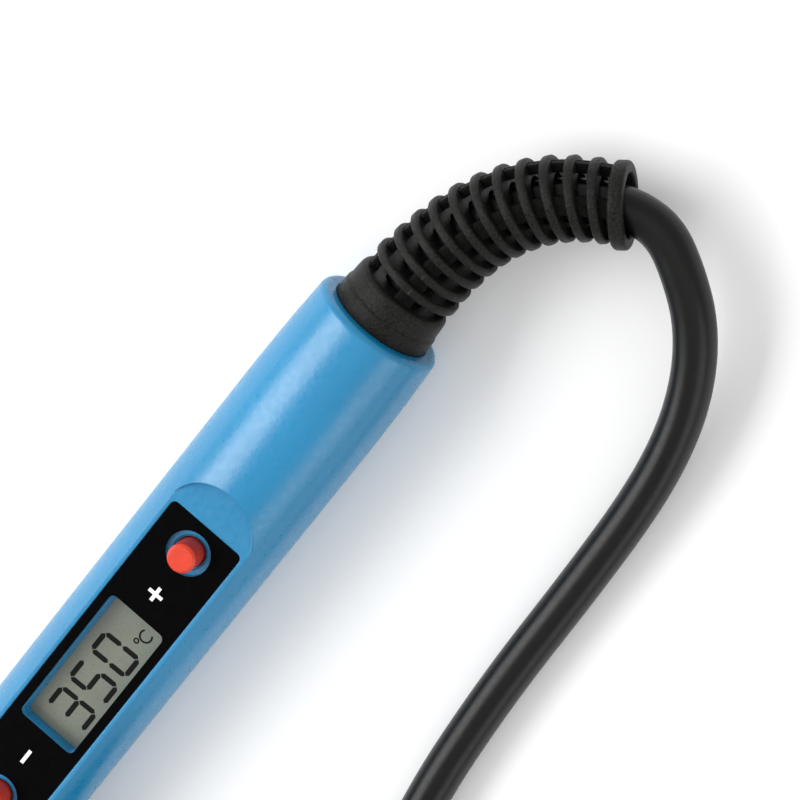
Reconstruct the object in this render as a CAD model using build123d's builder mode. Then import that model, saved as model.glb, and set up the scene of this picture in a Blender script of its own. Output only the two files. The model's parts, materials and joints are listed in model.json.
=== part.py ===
from build123d import *

import math
import os

# Soldering iron with a controller in its handle, lying on its underside.
# Frame: +X along the iron towards its cord, the tip towards -X, +Z up through the panel.
# The origin is under the middle of the iron, on the surface that it lies on. Millimetres.

# Driving dimensions
IRON_LENGTH = 222.0  # from the tip's point to the rear end of the handle
HANDLE_RADIUS = 11.0
HANDLE_REAR_RADIUS = 10.45
HANDLE_LENGTH = 120.0
WALL = 2.0
REST_DEPTH = 10.8  # from the axis down to the flat that the iron lies on
FACET_HEIGHT = 8.0  # from the axis up to the flat that carries the panel
CORD_DIAMETER = 6.7
CORD_BEND_SHARE = 0.45  # each bend of the cord takes this share of its shorter run

# Places along the iron, measured forward from the rear end of the handle
FACET_REAR, FACET_FRONT = 34.0, 110.4
PANEL_REAR, PANEL_FRONT = 40.7, 103.7
PLUS_BUTTON, MINUS_BUTTON = 46.0, 98.4
WINDOW_CENTRE, WINDOW_LENGTH, WINDOW_WIDTH = 71.95, 25.5, 10.6
BOARD_REAR, BOARD_FRONT = 32.0, 106.0
NOSE_FRONT = 151.0
NOSE_RADIUS, NOSE_BORE = 7.0, 5.0
SOCKET_REAR, SOCKET_FRONT = 140.0, 162.0
THREAD_RADIUS = 6.0
NUT_REAR, NUT_FRONT = 153.6, 167.0
TUBE_FRONT = 200.0
TUBE_RADIUS = 4.0
TIP_REAR = 180.0
RUNNING_GAP = 0.05
OVERCUT = 1.0  # how far a cut starts outside what it cuts

# Handle blank
TAPER_START, TAPER_MIDDLE, TAPER_DROP = 18.0, 8.0, 0.2  # the handle narrows towards its rear end
REAR_RIM, FRONT_RIM = 1.2, 0.8
FACET_LEAN = 18.0  # degrees that the steps round the flat lean back
ROOF_THICK = WALL + 0.2  # under the flat
MOUTH_DEPTH = 3.0  # from the lip to where the bore narrows down behind the flat

# Panel and buttons
PANEL_WIDTH = 13.5
PANEL_CORNER = 0.9
PANEL_RECESS = 0.4
PANEL_THICK = 0.25
BUTTON_HOLE_RADIUS, BUTTON_LEDGE_RADIUS, BUTTON_BORE_RADIUS = 3.65, 2.8, 2.5
BUTTON_LEDGE_DEPTH, BUTTON_STEP_DEPTH = 1.0, 1.35
BUTTON_CAP_RADIUS, BUTTON_TOP = 2.3, 11.25
BUTTON_FLANGE, BUTTON_EDGE = 0.8, 0.35  # the cap's flange under the shell, and the slope round its top
WINDOW_CORNER = 1.0

# Circuit board, measured from the axis
BOARD_WIDTH, BOARD_THICK = 16.8, 1.6
SWITCH_SIZE, SWITCH_HEIGHT = 6.0, 3.5
PLUNGER_RADIUS, PLUNGER_TOP = 1.75, 4.3
SWITCH_WELL = 1.3
HOLDER_HEIGHT, GLASS_THICK = 3.1, 1.9
HOLDER_LENGTH, HOLDER_WIDTH = 30.4, 14.2
GLASS_LENGTH, GLASS_WIDTH = 29.0, 13.4
STRIP_LENGTH, STRIP_WIDTH, STRIP_SIDE = 26.0, 1.6, 5.4
FILM_PLACE, FILM_LENGTH, FILM_WIDTH, FILM_HEIGHT = 44.0, 13.0, 6.0, 6.0
CAN_PLACE, CAN_RADIUS, CAN_LENGTH, CAN_DEPTH = 57.0, 3.15, 11.0, 4.9
CHIP_PLACE, CHIP_LENGTH, CHIP_WIDTH, CHIP_HEIGHT = 76.0, 10.0, 6.0, 1.6
CHIP_LEG_PITCH, CHIP_LEG_SPAN, CHIP_LEGS = 1.27, 6.8, 7
TRIAC_PLACE, TRIAC_SIZE, TRIAC_TAB, TRIAC_HEIGHT = 90.0, 10.0, 1.3, 4.2
RESISTOR_PLACE, RESISTOR_RADIUS, RESISTOR_LENGTH = 97.0, 1.2, 6.5
RESISTOR_SIDE, RESISTOR_DEPTH = 3.4, 3.0

# Handle screws and cord clamp
SCREW_PLACES = (26.0, 110.5)
SCREW_SIDE = 5.2
SCREW_RADIUS, SCREW_HEAD_RADIUS, SCREW_HEAD_DEPTH, SCREW_LENGTH = 0.95, 1.9, 6.0, 11.5
SCREW_HEAD_THICK, SCREW_HEAD_GAP = 1.4, 0.3
CROSS_LENGTH, CROSS_WIDTH, CROSS_DEPTH = 2.2, 0.5, 0.8
BOSS_RADIUS, BOSS_HEIGHT = 3.0, 7.0
PILOT_RADIUS, SCREW_HOLE_RADIUS = 1.0, 1.2
CLAMP_PLACE, CLAMP_LENGTH, CLAMP_WIDTH = 15.0, 6.0, 14.4
CLAMP_EAR, CLAMP_THICK, CLAMP_SCREW_SIDE, CLAMP_HOLE_RADIUS = 2.4, 1.2, 5.3, 1.1
CLAMP_SCREW_LENGTH, CLAMP_HEAD_RADIUS, CLAMP_HEAD_THICK = 8.0, 1.4, 1.2
SADDLE_DROP, SADDLE_HEIGHT, SADDLE_HOLE_DEPTH = 0.1, 7.9, 6.0
LEDGE_SIDE, LEDGE_LENGTH, LEDGE_WIDTH, LEDGE_HEIGHT = 8.3, 5.0, 1.4, 1.8

# Wires and leads
POWER_WIRE_RADIUS, HEATER_LEAD_RADIUS, SENSOR_LEAD_RADIUS = 0.75, 0.6, 0.35
WIRE_BEND = 2.0
TAIL_REAR, TAIL_LENGTH = 3.0, 17.0

# Front end: places forward of the rear end of the handle, and radii
SOCKET_BORE, SOCKET_MOUTH, SOCKET_MOUTH_DEPTH, SOCKET_FLANGE = 2.6, 4.2, 3.6, 2.0
HEATER_REAR, HEATER_FRONT, HEATER_RADIUS, HEATER_EDGE = 150.0, 197.4, 1.95, 0.4
HEATER_COLLAR_REAR, HEATER_COLLAR_FRONT, HEATER_COLLAR_RADIUS = 158.5, 161.5, 4.1
CONTACT_REAR, CONTACT_FRONT, CONTACT_BORE, CONTACT_RADIUS = 162.0, 163.4, 4.4, 5.3
TUBE_REAR, TUBE_FLANGE, TUBE_FLANGE_RADIUS, TUBE_BORE = 163.5, 1.0, 5.3, 3.4
TUBE_LIP_BORE, TUBE_LIP = 2.62, 1.2
VENT_RADIUS, VENT_ROWS = 1.0, ((171.5, 0), (177.0, 45))  # place and turn of each row
TIP_SLEEVE_RADIUS, TIP_SLEEVE_FRONT, TIP_BORE, TIP_BORE_FRONT = 3.25, 198.6, 2.1, 198.0
TIP_RADIUS, TIP_CONE_REAR, TIP_END_RADIUS, TIP_POINT_RADIUS = 2.5, 205.0, 0.55, 0.25
NUT_RADIUS, NUT_REAR_RADIUS, NUT_FRONT_RADIUS, NUT_SHOULDER = 7.2, 6.6, 5.8, 164.7
NUT_BORE = TUBE_RADIUS + 0.2
KNURLS, KNURL_RADIUS, KNURL_PLACE = 24, 0.45, 7.35
GRIP_REAR_RADIUS, GRIP_FRONT_RADIUS, GRIP_FRONT = 9.6, 8.6, NOSE_FRONT - 0.2
GRIP_GROOVES, GRIP_GROOVE_PITCH, GRIP_FIRST_GROOVE, GRIP_GROOVE_RADIUS = 6, 2.8, 127.0, 7.9

# Bend relief
MOUTH_RADIUS, MOUTH_LIP = 8.3, 2.0
COLLAR_RADIUS, COLLAR_OUT, COLLAR_IN = 8.2, 6.2, 5.0
FLANGE_RADIUS = 8.9  # of the collar's flange, held behind the handle's lip
RIBS = 11
RIB_PITCH, RIB_THICK, END_GAP = 3.17, 1.45, 0.1
FIRST_RIB = 8.9  # from the rear end of the handle along the cord
FIRST_RIB_RADIUS, LAST_RIB_RADIUS = 7.6, 6.3
END_RING_THICK, END_RING_RADIUS = 2.3, 6.65
RELIEF_BORE, LAST_BORE, END_BORE = 3.55, 4.0, 4.8
WEB_WIDTH, WEB_RECESS = 2.9, 0.7
WEB_TURN = 12.0  # degrees that the first web stands round from the top, towards -Y
RING_LAG, RING_SHIFT = 7.5, 0.35  # how far the end ring turns late and sits outward of the cord

# Cord: corners of its route from the bend relief's root to the hank, measured
# from the rear end of the handle
CORD_ROUTE = [
    (-3.0, 0.0, 10.8),
    (5.5, 0.0, 10.8),
    (13.0, -0.7, 10.8),
    (20.5, -2.2, 10.8),
    (26.9, -5.2, 10.7),
    (31.8, -9.0, 10.6),
    (35.4, -13.6, 10.4),
    (38.1, -18.8, 10.1),
    (38.4, -24.6, 9.6),
    (35.0, -30.6, 8.9),
    (30.4, -36.3, 8.0),
    (23.6, -41.1, 6.9),
    (14.7, -44.7, 5.6),
    (3.0, -46.9, 4.3),
    (-14.0, -47.9, 3.5),
    (-36.0, -48.6, 3.4),
    (-59.0, -51.0, 3.4),
    (-82.0, -57.0, 3.4),
    (-101.0, -66.4, 3.4),
    (-114.5, -71.6, 3.4),
]

# Hank: two round ends and a narrow waist, where the tie goes round it
HANK_REAR = 98.0
HANK_SIDE = -45.5
HANK_END_RADIUS = 31.2
HANK_CENTRES = 85.0  # between the centres of the two round ends
HANK_HEIGHT = 13.6
LAST_RUN_SIDE, LAST_RUN_HEIGHT = -70.5, 10.4  # where the cord leaves the hank for the plug
WAIST_WIDTH, WAIST_LIFT = 28.4, 1.0
TIE_WIDTH, TIE_THICK, TIE_GAP, TIE_CORNER = 10.0, 0.8, 0.1, 1.2

# Mains plug, lying beyond the hank with its pins towards -X
PLUG_REAR = 266.0
PLUG_SIDE = -62.0
PLUG_RADIUS, PLUG_FLAT = 18.25, 16.5
PLUG_LENGTH, PLUG_RIM = 54.0, 0.8
DOME_MIDDLE, DOME_MIDDLE_RADIUS, DOME_FRONT, SHOULDER_STEP = 30.0, 15.2, 42.0, 2.0
GROOVE_SLOPE, GROOVE_LENGTH = 0.4, 2.0
NECK_LENGTH, NECK_REAR_RADIUS, NECK_RADIUS, SHOULDER_RADIUS = 20.0, 4.9, 6.6, 9.4
NECK_GROOVES, NECK_FIRST_GROOVE, NECK_GROOVE_PITCH, NECK_GROOVE_DEPTH = 5, 2.0, 3.6, 0.8
PIN_RADIUS, PIN_LENGTH, PIN_SPACING, PIN_DEPTH = 2.4, 19.0, 19.0, 8.0
PIN_ROOT_RADIUS, PIN_NOSE = 1.9, 1.2
CLIP_LENGTH, CLIP_WIDTH, CLIP_THICK, CLIP_RECESS = 14.0, 6.0, 0.8, 1.2
EARTH_HOLE_RADIUS, EARTH_HOLE_SIDE, EARTH_HOLE_DEPTH = 2.5, 9.5, 14.0

REAR_X = IRON_LENGTH / 2
AXIS_Z = REST_DEPTH
INNER_RADIUS = HANDLE_RADIUS - WALL
CORD_RADIUS = CORD_DIAMETER / 2

IRON_AXIS = Axis((0, 0, AXIS_Z), (1, 0, 0))
SIDE = Plane(origin=(0, 0, AXIS_Z), x_dir=(1, 0, 0), z_dir=(0, -1, 0))


def at(forward):
    """The X of a place so far forward of the rear end of the handle."""
    return REAR_X - forward


def level(height):
    """A horizontal plane so far above the iron's axis."""
    return Plane.XY.offset(AXIS_Z + height)


def across(forward, side=0.0, height=0.0):
    """A plane square to the iron, facing its front, with its own X sideways and Y up."""
    return Plane(
        origin=(at(forward), side, AXIS_Z + height), x_dir=(0, -1, 0), z_dir=(-1, 0, 0)
    )


def profile(*points):
    """A closed outline of (place forward of the rear end, radius) points, for revolving."""
    with BuildSketch(SIDE) as outline:
        with BuildLine():
            Polyline(*[(at(forward), radius) for forward, radius in points], close=True)
        make_face()
    return outline.sketch


def wire_run(radius, *points):
    """A wire's core and cover along corners of (forward, side, height), gently rounded."""
    corners = [(at(forward), side, AXIS_Z + height) for forward, side, height in points]
    with BuildLine() as line:
        FilletPolyline(*corners, radius=WIRE_BEND)
    path = line.wires()[0]
    with BuildSketch(Plane(origin=path @ 0, z_dir=path % 0)) as section:
        Circle(radius)
    return sweep(section.sketch, path=path, mode=Mode.PRIVATE)


def handle_blank():
    """The handle's outside, solid, with the flat and the nose, before it is hollowed."""
    with BuildPart() as blank:
        with BuildSketch(SIDE):
            with BuildLine():
                Polyline(
                    (REAR_X, HANDLE_REAR_RADIUS),
                    (REAR_X, 0),
                    (at(NOSE_FRONT), 0),
                    (at(NOSE_FRONT), NOSE_RADIUS),
                    (at(HANDLE_LENGTH), NOSE_RADIUS),
                    (at(HANDLE_LENGTH), HANDLE_RADIUS),
                    (at(TAPER_START), HANDLE_RADIUS),
                )
                ThreePointArc(
                    (at(TAPER_START), HANDLE_RADIUS),
                    (at(TAPER_MIDDLE), HANDLE_RADIUS - TAPER_DROP),
                    (REAR_X, HANDLE_REAR_RADIUS),
                )
            make_face()
        revolve(axis=IRON_AXIS)
        fillet(blank.edges().filter_by(GeomType.CIRCLE).sort_by(Axis.X)[-1], REAR_RIM)
        front_rim = blank.edges().filter_by(
            lambda e: abs(e.center().X - at(HANDLE_LENGTH)) < 0.01 and e.radius > HANDLE_RADIUS - 0.1
        )
        fillet(front_rim, FRONT_RIM)
        # The flat for the panel, with round ends whose steps lean back a little
        slot_width = 2 * math.sqrt(HANDLE_RADIUS**2 - FACET_HEIGHT**2) + 0.5
        with BuildSketch(level(FACET_HEIGHT)):
            with Locations((at((FACET_REAR + FACET_FRONT) / 2), 0)):
                SlotOverall(FACET_FRONT - FACET_REAR, slot_width)
        extrude(amount=HANDLE_RADIUS - FACET_HEIGHT + OVERCUT, taper=-FACET_LEAN, mode=Mode.SUBTRACT)
        # The narrow flat underneath, that the iron lies on
        with BuildSketch(level(-REST_DEPTH)):
            with Locations((at(HANDLE_LENGTH / 2), 0)):
                Rectangle(HANDLE_LENGTH + 4 * OVERCUT, 2 * HANDLE_RADIUS)
        extrude(amount=-2 * OVERCUT, mode=Mode.SUBTRACT)
        # Round bore behind and ahead of the flat, and a lower roof under it
        with BuildSketch(across(-OVERCUT)):
            Circle(MOUTH_RADIUS)
        extrude(amount=MOUTH_LIP + 2 * OVERCUT, mode=Mode.SUBTRACT)
        with BuildSketch(across(MOUTH_LIP)):
            Circle(INNER_RADIUS)
        extrude(amount=FACET_REAR - MOUTH_LIP - MOUTH_DEPTH, mode=Mode.SUBTRACT)
        with BuildSketch(across(FACET_REAR - MOUTH_DEPTH - OVERCUT)):
            Circle(INNER_RADIUS)
            with Locations((0, FACET_HEIGHT - ROOF_THICK)):
                Rectangle(
                    2 * HANDLE_RADIUS, HANDLE_RADIUS, align=(Align.CENTER, Align.MIN), mode=Mode.SUBTRACT
                )
        extrude(amount=FACET_FRONT - FACET_REAR + 7.0, mode=Mode.SUBTRACT)
        with BuildSketch(across(HANDLE_LENGTH - 8.0)):
            Circle(NOSE_BORE)
        extrude(amount=NOSE_FRONT - HANDLE_LENGTH + 10.0, mode=Mode.SUBTRACT)
    return blank.part


blank = handle_blank()

# Upper half of the handle: panel recess, button holes, window and screw bosses
with BuildPart() as upper_shell:
    add(blank)
    split(bisect_by=level(0), keep=Keep.TOP)
    with BuildSketch(level(FACET_HEIGHT)):
        with Locations((at((PANEL_REAR + PANEL_FRONT) / 2), 0)):
            RectangleRounded(
                PANEL_FRONT - PANEL_REAR + 0.2, PANEL_WIDTH + 0.2, PANEL_CORNER + 0.1
            )
    extrude(amount=-PANEL_RECESS, mode=Mode.SUBTRACT)
    with BuildSketch(level(FACET_HEIGHT)):
        with Locations((at(PLUS_BUTTON), 0), (at(MINUS_BUTTON), 0)):
            Circle(BUTTON_HOLE_RADIUS)
    extrude(amount=-BUTTON_LEDGE_DEPTH, mode=Mode.SUBTRACT)
    with BuildSketch(level(FACET_HEIGHT)):
        with Locations((at(PLUS_BUTTON), 0), (at(MINUS_BUTTON), 0)):
            Circle(BUTTON_LEDGE_RADIUS)
    extrude(amount=-BUTTON_STEP_DEPTH, mode=Mode.SUBTRACT)
    with BuildSketch(level(FACET_HEIGHT)):
        with Locations((at(PLUS_BUTTON), 0), (at(MINUS_BUTTON), 0)):
            Circle(BUTTON_BORE_RADIUS)
        with Locations((at(WINDOW_CENTRE), 0)):
            RectangleRounded(WINDOW_LENGTH, WINDOW_WIDTH, WINDOW_CORNER)
    extrude(amount=-5.0, mode=Mode.SUBTRACT)
    with BuildSketch(level(0)):
        for place in SCREW_PLACES:
            with Locations((at(place), SCREW_SIDE), (at(place), -SCREW_SIDE)):
                Circle(BOSS_RADIUS)
    extrude(amount=BOSS_HEIGHT)
    with BuildSketch(level(0)):
        for place in SCREW_PLACES:
            with Locations((at(place), SCREW_SIDE), (at(place), -SCREW_SIDE)):
                Circle(PILOT_RADIUS)
    extrude(amount=BOSS_HEIGHT - PILOT_RADIUS, mode=Mode.SUBTRACT)

# Lower half of the handle: bosses with sunk screw heads, cord saddle, board ledges
with BuildPart() as lower_shell:
    add(blank)
    split(bisect_by=level(0), keep=Keep.BOTTOM)
    with BuildSketch(level(0)):
        for place in SCREW_PLACES:
            with Locations((at(place), SCREW_SIDE), (at(place), -SCREW_SIDE)):
                Circle(BOSS_RADIUS)
    extrude(amount=-BOSS_HEIGHT)
    with BuildSketch(level(0)):
        for place in SCREW_PLACES:
            with Locations((at(place), SCREW_SIDE), (at(place), -SCREW_SIDE)):
                Circle(SCREW_HOLE_RADIUS)
    extrude(amount=-HANDLE_RADIUS - OVERCUT, mode=Mode.SUBTRACT)
    with BuildSketch(level(-SCREW_HEAD_DEPTH)):
        for place in SCREW_PLACES:
            with Locations((at(place), SCREW_SIDE), (at(place), -SCREW_SIDE)):
                Circle(SCREW_HEAD_RADIUS + SCREW_HEAD_GAP)
    extrude(amount=-6.0, mode=Mode.SUBTRACT)
    with BuildSketch(across(CLAMP_PLACE)):
        with Locations((0, -SADDLE_DROP)):
            Rectangle(CLAMP_WIDTH - 0.4, SADDLE_HEIGHT, align=(Align.CENTER, Align.MAX))
        Circle(CORD_RADIUS + RUNNING_GAP, mode=Mode.SUBTRACT)
    extrude(amount=CLAMP_LENGTH / 2, both=True)
    with BuildSketch(level(0)):
        with Locations((at(CLAMP_PLACE), CLAMP_SCREW_SIDE), (at(CLAMP_PLACE), -CLAMP_SCREW_SIDE)):
            Circle(PILOT_RADIUS)
    extrude(amount=-SADDLE_HOLE_DEPTH, mode=Mode.SUBTRACT)
    for place in (BOARD_REAR + 4.0, BOARD_FRONT - 6.0):
        for side in (-1, 1):
            with BuildSketch(level(-BOARD_THICK)):
                with Locations((at(place), side * LEDGE_SIDE)):
                    Rectangle(LEDGE_LENGTH, LEDGE_WIDTH)
            extrude(amount=-LEDGE_HEIGHT)

# Four self-tapping screws with pan heads and cross slots
with BuildPart() as shell_screws:
    for place in SCREW_PLACES:
        for side in (-SCREW_SIDE, SCREW_SIDE):
            with BuildSketch(level(-SCREW_HEAD_DEPTH)):
                with Locations((at(place), side)):
                    Circle(SCREW_RADIUS)
            extrude(amount=SCREW_LENGTH)
            with BuildSketch(level(-SCREW_HEAD_DEPTH)):
                with Locations((at(place), side)):
                    Circle(SCREW_HEAD_RADIUS)
            extrude(amount=-SCREW_HEAD_THICK)
            with BuildSketch(level(-SCREW_HEAD_DEPTH - SCREW_HEAD_THICK)):
                with Locations((at(place), side)):
                    Rectangle(CROSS_LENGTH, CROSS_WIDTH)
                    Rectangle(CROSS_WIDTH, CROSS_LENGTH)
            extrude(amount=CROSS_DEPTH, mode=Mode.SUBTRACT)

with BuildPart() as panel_overlay:
    with BuildSketch(level(FACET_HEIGHT - PANEL_RECESS)):
        with Locations((at((PANEL_REAR + PANEL_FRONT) / 2), 0)):
            RectangleRounded(PANEL_FRONT - PANEL_REAR, PANEL_WIDTH, PANEL_CORNER)
        with Locations((at(PLUS_BUTTON), 0), (at(MINUS_BUTTON), 0)):
            Circle(BUTTON_HOLE_RADIUS, mode=Mode.SUBTRACT)
        with Locations((at(WINDOW_CENTRE), 0)):
            RectangleRounded(WINDOW_LENGTH, WINDOW_WIDTH, WINDOW_CORNER, mode=Mode.SUBTRACT)
    extrude(amount=PANEL_THICK)

# Circuit board and what stands on it
with BuildPart() as main_board:
    with BuildSketch(level(-BOARD_THICK)):
        with Locations((at((BOARD_REAR + BOARD_FRONT) / 2), 0)):
            RectangleRounded(BOARD_FRONT - BOARD_REAR, BOARD_WIDTH, 1.0)
    extrude(amount=BOARD_THICK)

with BuildPart() as push_switches:
    for place in (PLUS_BUTTON, MINUS_BUTTON):
        with BuildSketch(level(0)):
            with Locations((at(place), 0)):
                RectangleRounded(SWITCH_SIZE, SWITCH_SIZE, 0.5)
        extrude(amount=SWITCH_HEIGHT)
        with BuildSketch(level(SWITCH_HEIGHT)):
            with Locations((at(place), 0)):
                Circle(PLUNGER_RADIUS + 0.1)
        extrude(amount=-SWITCH_WELL, mode=Mode.SUBTRACT)


def plunger_solid(place):
    """The moving post of a push switch."""
    with BuildPart() as post:
        with BuildSketch(level(SWITCH_HEIGHT - 0.9)):
            with Locations((at(place), 0)):
                Circle(PLUNGER_RADIUS)
        extrude(amount=PLUNGER_TOP - SWITCH_HEIGHT + 0.9)
    return post.part


def cap_solid(place):
    """A button's cap: a flange that stays under the shell, and a post with a sloped edge."""
    with BuildPart() as cap:
        with BuildSketch(level(PLUNGER_TOP)):
            with Locations((at(place), 0)):
                Circle(BUTTON_LEDGE_RADIUS + 0.3)
        extrude(amount=BUTTON_FLANGE)
        with BuildSketch(level(PLUNGER_TOP)):
            with Locations((at(place), 0)):
                Circle(BUTTON_CAP_RADIUS)
        extrude(amount=BUTTON_TOP - PLUNGER_TOP)
        chamfer(cap.edges().filter_by(GeomType.CIRCLE).sort_by(Axis.Z)[-1], BUTTON_EDGE)
    return cap.part


with BuildPart() as plus_plunger:
    add(plunger_solid(PLUS_BUTTON))

with BuildPart() as minus_plunger:
    add(plunger_solid(MINUS_BUTTON))

with BuildPart() as plus_button_cap:
    add(cap_solid(PLUS_BUTTON))

with BuildPart() as minus_button_cap:
    add(cap_solid(MINUS_BUTTON))

with BuildPart() as display_holder:
    with BuildSketch(level(0)):
        with Locations((at(WINDOW_CENTRE), 0)):
            RectangleRounded(HOLDER_LENGTH, HOLDER_WIDTH, 0.6)
            Rectangle(STRIP_LENGTH + 0.6, 2 * STRIP_SIDE + STRIP_WIDTH + 0.2, mode=Mode.SUBTRACT)
    extrude(amount=HOLDER_HEIGHT)

# Two rubber strips that carry the display's contacts down to the board
with BuildPart() as contact_strips:
    with BuildSketch(level(0)):
        with Locations((at(WINDOW_CENTRE), STRIP_SIDE), (at(WINDOW_CENTRE), -STRIP_SIDE)):
            Rectangle(STRIP_LENGTH, STRIP_WIDTH)
    extrude(amount=HOLDER_HEIGHT)

with BuildPart() as display_glass:
    with BuildSketch(level(HOLDER_HEIGHT)):
        with Locations((at(WINDOW_CENTRE), 0)):
            Rectangle(GLASS_LENGTH, GLASS_WIDTH)
    extrude(amount=GLASS_THICK)

with BuildPart() as film_capacitor:
    with BuildSketch(level(-BOARD_THICK)):
        with Locations((at(FILM_PLACE), 0)):
            RectangleRounded(FILM_LENGTH, FILM_WIDTH, 0.6)
    extrude(amount=-FILM_HEIGHT)

with BuildPart() as electrolytic_capacitor:
    with BuildSketch(across(CAN_PLACE, 0, -CAN_DEPTH)):
        Circle(CAN_RADIUS)
    extrude(amount=CAN_LENGTH)
    fillet(electrolytic_capacitor.edges().filter_by(GeomType.CIRCLE), 0.5)

with BuildPart() as controller_chip:
    with BuildSketch(level(-BOARD_THICK)):
        with Locations((at(CHIP_PLACE), 0)):
            Rectangle(CHIP_LENGTH, CHIP_WIDTH)
    extrude(amount=-CHIP_HEIGHT)
    with BuildSketch(level(-BOARD_THICK)):
        with Locations((at(CHIP_PLACE), 0)):
            with GridLocations(CHIP_LEG_PITCH, CHIP_LEG_SPAN, CHIP_LEGS, 2):
                Rectangle(0.4, 1.2)
    extrude(amount=-0.9)

with BuildPart() as triac:
    with BuildSketch(level(-BOARD_THICK)):
        with Locations((at(TRIAC_PLACE), 0)):
            Rectangle(TRIAC_SIZE, TRIAC_SIZE)
    extrude(amount=-TRIAC_TAB)
    with BuildSketch(level(-BOARD_THICK)):
        with Locations((at(TRIAC_PLACE + 1.0), 0)):
            Rectangle(TRIAC_SIZE - 2.0, TRIAC_SIZE - 0.6)
    extrude(amount=-TRIAC_HEIGHT)

with BuildPart() as dropper_resistors:
    for side in (-RESISTOR_SIDE, RESISTOR_SIDE):
        with BuildSketch(across(RESISTOR_PLACE, side, -RESISTOR_DEPTH)):
            Circle(RESISTOR_RADIUS)
        extrude(amount=RESISTOR_LENGTH)

# Cord tail inside the handle, its clamp and its wires
with BuildPart() as cord_tail:
    with BuildSketch(across(TAIL_REAR)):
        Circle(CORD_RADIUS)
    extrude(amount=TAIL_LENGTH)

with BuildPart() as cord_clamp:
    with BuildSketch(across(CLAMP_PLACE)):
        Circle(CORD_RADIUS + CLAMP_THICK)
        with Locations((0, CLAMP_EAR / 2)):
            Rectangle(CLAMP_WIDTH, CLAMP_EAR)
        with Locations((0, 0)):
            Rectangle(30, 30, align=(Align.CENTER, Align.MAX), mode=Mode.SUBTRACT)
        Circle(CORD_RADIUS + RUNNING_GAP, mode=Mode.SUBTRACT)
    extrude(amount=CLAMP_LENGTH / 2, both=True)
    with BuildSketch(level(0)):
        with Locations((at(CLAMP_PLACE), CLAMP_SCREW_SIDE), (at(CLAMP_PLACE), -CLAMP_SCREW_SIDE)):
            Circle(CLAMP_HOLE_RADIUS)
    extrude(amount=CLAMP_EAR, mode=Mode.SUBTRACT)

with BuildPart() as clamp_screws:
    for side in (-CLAMP_SCREW_SIDE, CLAMP_SCREW_SIDE):
        with BuildSketch(level(CLAMP_EAR)):
            with Locations((at(CLAMP_PLACE), side)):
                Circle(SCREW_RADIUS)
        extrude(amount=-CLAMP_SCREW_LENGTH)
        with BuildSketch(level(CLAMP_EAR)):
            with Locations((at(CLAMP_PLACE), side)):
                Circle(CLAMP_HEAD_RADIUS)
        extrude(amount=CLAMP_HEAD_THICK)

with BuildPart() as live_wire:
    add(wire_run(POWER_WIRE_RADIUS, (20.0, 1.3, 0.95), (29.0, 1.3, 0.95), (36.0, 3.2, 0.85)))

with BuildPart() as neutral_wire:
    add(wire_run(POWER_WIRE_RADIUS, (20.0, -1.3, 0.95), (29.0, -1.3, 0.95), (36.0, -3.2, 0.85)))

with BuildPart() as earth_wire:
    add(
        wire_run(
            POWER_WIRE_RADIUS,
            (20.0, 0.0, -1.8),
            (27.0, 0.0, -1.8),
            (33.0, 3.0, -5.2),
            (40.0, 6.3, -5.0),
            (96.0, 6.3, -5.0),
            (103.0, 0.8, -5.2),
            (122.0, 0.8, -3.0),
            (139.9, 0.8, -2.6),
        )
    )

with BuildPart() as heater_leads:
    for side in (-1, 1):
        add(
            wire_run(
                HEATER_LEAD_RADIUS,
                (99.0, side * 1.7, -2.4),
                (106.0, side * 1.2, -2.4),
                (118.0, side * 1.2, -1.0),
                (132.0, side * 0.9, 0.0),
                (150.0, side * 0.9, 0.1),
            )
        )

with BuildPart() as sensor_leads:
    for side in (-1, 1):
        add(
            wire_run(
                SENSOR_LEAD_RADIUS,
                (103.5, side * 0.8, 0.5),
                (118.0, side * 0.7, 1.2),
                (150.0, side * 0.6, 1.3),
            )
        )

# Front end: socket, heater, tube, nut, tip and grip
with BuildPart() as front_socket:
    revolve(
        profile(
            (SOCKET_REAR, SOCKET_BORE),
            (SOCKET_REAR, NOSE_BORE - RUNNING_GAP),
            (NOSE_FRONT, NOSE_BORE - RUNNING_GAP),
            (NOSE_FRONT, NOSE_RADIUS),
            (NOSE_FRONT + SOCKET_FLANGE, NOSE_RADIUS),
            (NOSE_FRONT + SOCKET_FLANGE, THREAD_RADIUS),
            (SOCKET_FRONT - 0.5, THREAD_RADIUS),
            (SOCKET_FRONT, THREAD_RADIUS - 0.5),
            (SOCKET_FRONT, SOCKET_MOUTH),
            (SOCKET_FRONT - SOCKET_MOUTH_DEPTH, SOCKET_MOUTH),
            (SOCKET_FRONT - SOCKET_MOUTH_DEPTH, SOCKET_BORE),
        ),
        axis=IRON_AXIS,
    )

with BuildPart() as heater_element:
    revolve(
        profile(
            (HEATER_REAR, 0),
            (HEATER_REAR, HEATER_RADIUS),
            (HEATER_FRONT - HEATER_EDGE, HEATER_RADIUS),
            (HEATER_FRONT, HEATER_RADIUS - HEATER_EDGE),
            (HEATER_FRONT, 0),
        ),
        axis=IRON_AXIS,
    )

with BuildPart() as heater_collar:
    revolve(
        profile(
            (HEATER_COLLAR_REAR, HEATER_RADIUS + 0.02),
            (HEATER_COLLAR_REAR, HEATER_COLLAR_RADIUS),
            (HEATER_COLLAR_FRONT, HEATER_COLLAR_RADIUS),
            (HEATER_COLLAR_FRONT, HEATER_RADIUS + 0.02),
        ),
        axis=IRON_AXIS,
    )

with BuildPart() as earth_contact:
    revolve(
        profile(
            (CONTACT_REAR, CONTACT_BORE),
            (CONTACT_REAR, CONTACT_RADIUS),
            (CONTACT_FRONT, CONTACT_RADIUS),
            (CONTACT_FRONT, CONTACT_BORE),
        ),
        axis=IRON_AXIS,
    )

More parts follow.
